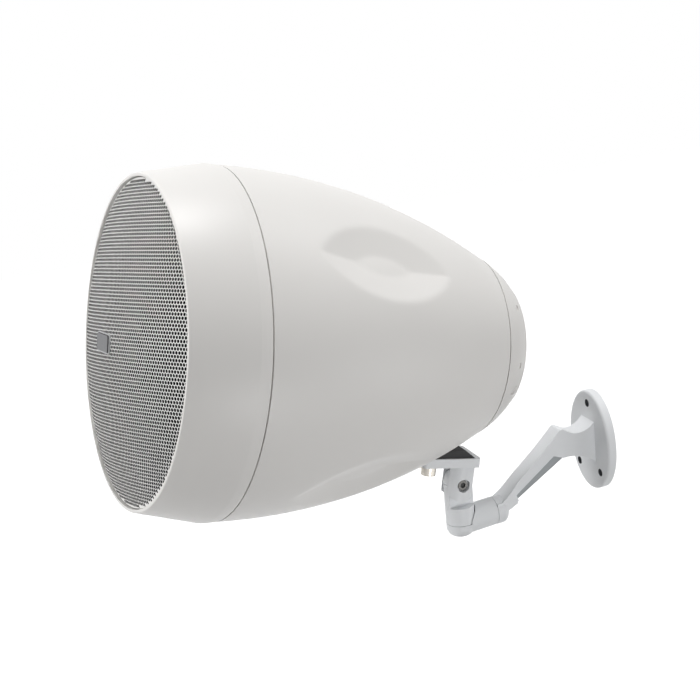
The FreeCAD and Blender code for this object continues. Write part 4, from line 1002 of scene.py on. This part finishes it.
# Soft boxes: name, place and width in metres, and power in watts
LAMPS = (
    ("key over the top", (-0.2, -0.15, 1.6), 0.5, 13.0),
    ("high behind", (0.1, 1.0, 1.4), 0.9, 4.0),
    ("in front at the side", (1.5, -0.8, 0.2), 0.9, 1.0),
    ("before the grille", (-0.45, -2.1, 0.4), 0.8, 21.5),
    ("low behind", (1.1, 1.0, -0.3), 0.6, 3.4),
    ("low in front", (0.55, -0.65, -0.7), 0.4, 0.1),
    ("low at the side", (1.2, -0.1, -0.36), 0.4, 3.4),
)

# Middle of the object, which the soft boxes face
MIDDLE = (0.0, -0.22, 0.1)


def seen_directly(tree):
    """1 for rays from the camera, a reflection or glass, and 0 for rays that light things."""
    path = add(tree, "ShaderNodeLightPath")
    either = add(tree, "ShaderNodeMath", {
        0: path.outputs["Is Camera Ray"], 1: path.outputs["Is Glossy Ray"]}, operation="MAXIMUM")
    return add(tree, "ShaderNodeMath", {
        0: either.outputs[0], 1: path.outputs["Is Transmission Ray"]},
        operation="MAXIMUM").outputs[0]


def studio_world():
    """White for what sees it directly, and an even pale grey as light."""
    world = bpy.data.worlds.new("studio")
    world.use_nodes = True
    tree = world.node_tree
    tree.nodes.clear()
    level = add(tree, "ShaderNodeMapRange", {
        RANGE_VALUE: seen_directly(tree), RANGE_LOW: AMBIENT, RANGE_HIGH: 1.0})
    light = add(tree, "ShaderNodeBackground", {
        "Color": colours().backdrop, "Strength": level.outputs[0]})
    add(tree, "ShaderNodeOutputWorld", {"Surface": light.outputs["Background"]})
    bpy.context.scene.world = world


# Matt white paper: what sees it directly gets it lifted to white, so that only a shadow darkens it,
# and it throws little light back on the object
def paper_sweep():
    material = blank_material("paper sweep")
    tree = material.node_tree
    seen = seen_directly(tree)
    tone = add(tree, "ShaderNodeMix", {
        MIX_FACTOR: seen, MIX_FIRST: linear(FLOOR_BOUNCE), MIX_SECOND: colours().backdrop},
        data_type="RGBA")
    matt = add(tree, "ShaderNodeBsdfDiffuse", {"Color": tone.outputs[MIX_RESULT]})
    level = add(tree, "ShaderNodeMath", {0: seen, 1: FLOOR_GLOW}, operation="MULTIPLY")
    glow = add(tree, "ShaderNodeEmission", {
        "Color": colours().backdrop, "Strength": level.outputs[0]})
    both = add(tree, "ShaderNodeAddShader", {0: matt.outputs["BSDF"], 1: glow.outputs["Emission"]})
    add(tree, "ShaderNodeOutputMaterial", {"Surface": both.outputs["Shader"]})
    return material


def aimed(obj, place_at):
    """Put a lamp somewhere and turn its -Z axis towards the middle of the object."""
    obj.location = place_at
    obj.rotation_euler = (Vector(MIDDLE) - Vector(place_at)).to_track_quat("-Z", "Y").to_euler()


class SPEAKER_OT_stage(bpy.types.Operator):
    """Set the floor, the soft boxes, the world and the camera"""

    bl_idname = "speaker.stage"
    bl_label = "Stage"

    def execute(self, context):
        scene = context.scene
        corner = np.array(((-1, -1), (1, -1), (1, 1), (-1, 1))) * FLOOR_SIZE / 2
        level = np.full((4, 1), -FLOOR_BELOW)
        mesh = new_mesh("floor", np.hstack((corner, level)), np.arange(4)[None, :])
        mesh.materials.append(paper_sweep())
        floor = bpy.data.objects.new("floor", mesh)
        scene.collection.objects.link(floor)
        for name, place_at, width, power in LAMPS:
            lamp = bpy.data.lights.new(name, "AREA")
            lamp.shape = "SQUARE"
            lamp.size = width
            lamp.energy = power
            box = bpy.data.objects.new(name, lamp)
            box.visible_camera = False
            scene.collection.objects.link(box)
            aimed(box, place_at)
        studio_world()
        lens = bpy.data.cameras.new("camera")
        lens.lens = CAMERA_LENS
        camera = bpy.data.objects.new("camera", lens)
        camera.location = CAMERA_PLACE
        camera.rotation_euler = CAMERA_TURN
        scene.collection.objects.link(camera)
        scene.camera = camera
        scene.view_settings.view_transform = "Standard"
        return {"FINISHED"}


OPERATORS = (
    SPEAKER_OT_rear_shell, SPEAKER_OT_front_bezel, SPEAKER_OT_grille, SPEAKER_OT_badge,
    SPEAKER_OT_rear_cap, SPEAKER_OT_saddle, SPEAKER_OT_bracket, SPEAKER_OT_fasteners,
    SPEAKER_OT_inside, SPEAKER_OT_stage)


class SPEAKER_PT_panel(bpy.types.Panel):
    """Sidebar panel with the pieces, in the order in which they are made"""

    bl_idname = "SPEAKER_PT_panel"
    bl_label = "Projection speaker"
    bl_space_type = "VIEW_3D"
    bl_region_type = "UI"
    bl_category = "Speaker"

    def draw(self, context):
        for operator in OPERATORS:
            self.layout.operator(operator.bl_idname)
        for group in (context.scene.speaker_sizes, context.scene.speaker_colours):
            column = self.layout.column()
            for key in group.__annotations__:
                column.prop(group, key)


CLASSES = (SpeakerSizes, SpeakerColours, *OPERATORS, SPEAKER_PT_panel)


def register():
    for cls in CLASSES:
        bpy.utils.register_class(cls)
    bpy.types.Scene.speaker_sizes = PointerProperty(type=SpeakerSizes)
    bpy.types.Scene.speaker_colours = PointerProperty(type=SpeakerColours)


def unregister():
    del bpy.types.Scene.speaker_colours
    del bpy.types.Scene.speaker_sizes
    for cls in reversed(CLASSES):
        bpy.utils.unregister_class(cls)


def main():
    register()
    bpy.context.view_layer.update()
    bpy.ops.speaker.rear_shell()
    bpy.ops.speaker.front_bezel()
    bpy.ops.speaker.grille()
    bpy.ops.speaker.badge()
    bpy.ops.speaker.rear_cap()
    bpy.ops.speaker.saddle()
    bpy.ops.speaker.bracket()
    bpy.ops.speaker.fasteners()
    bpy.ops.speaker.inside()
    bpy.ops.speaker.stage()


if __name__ == "__main__":
    main()
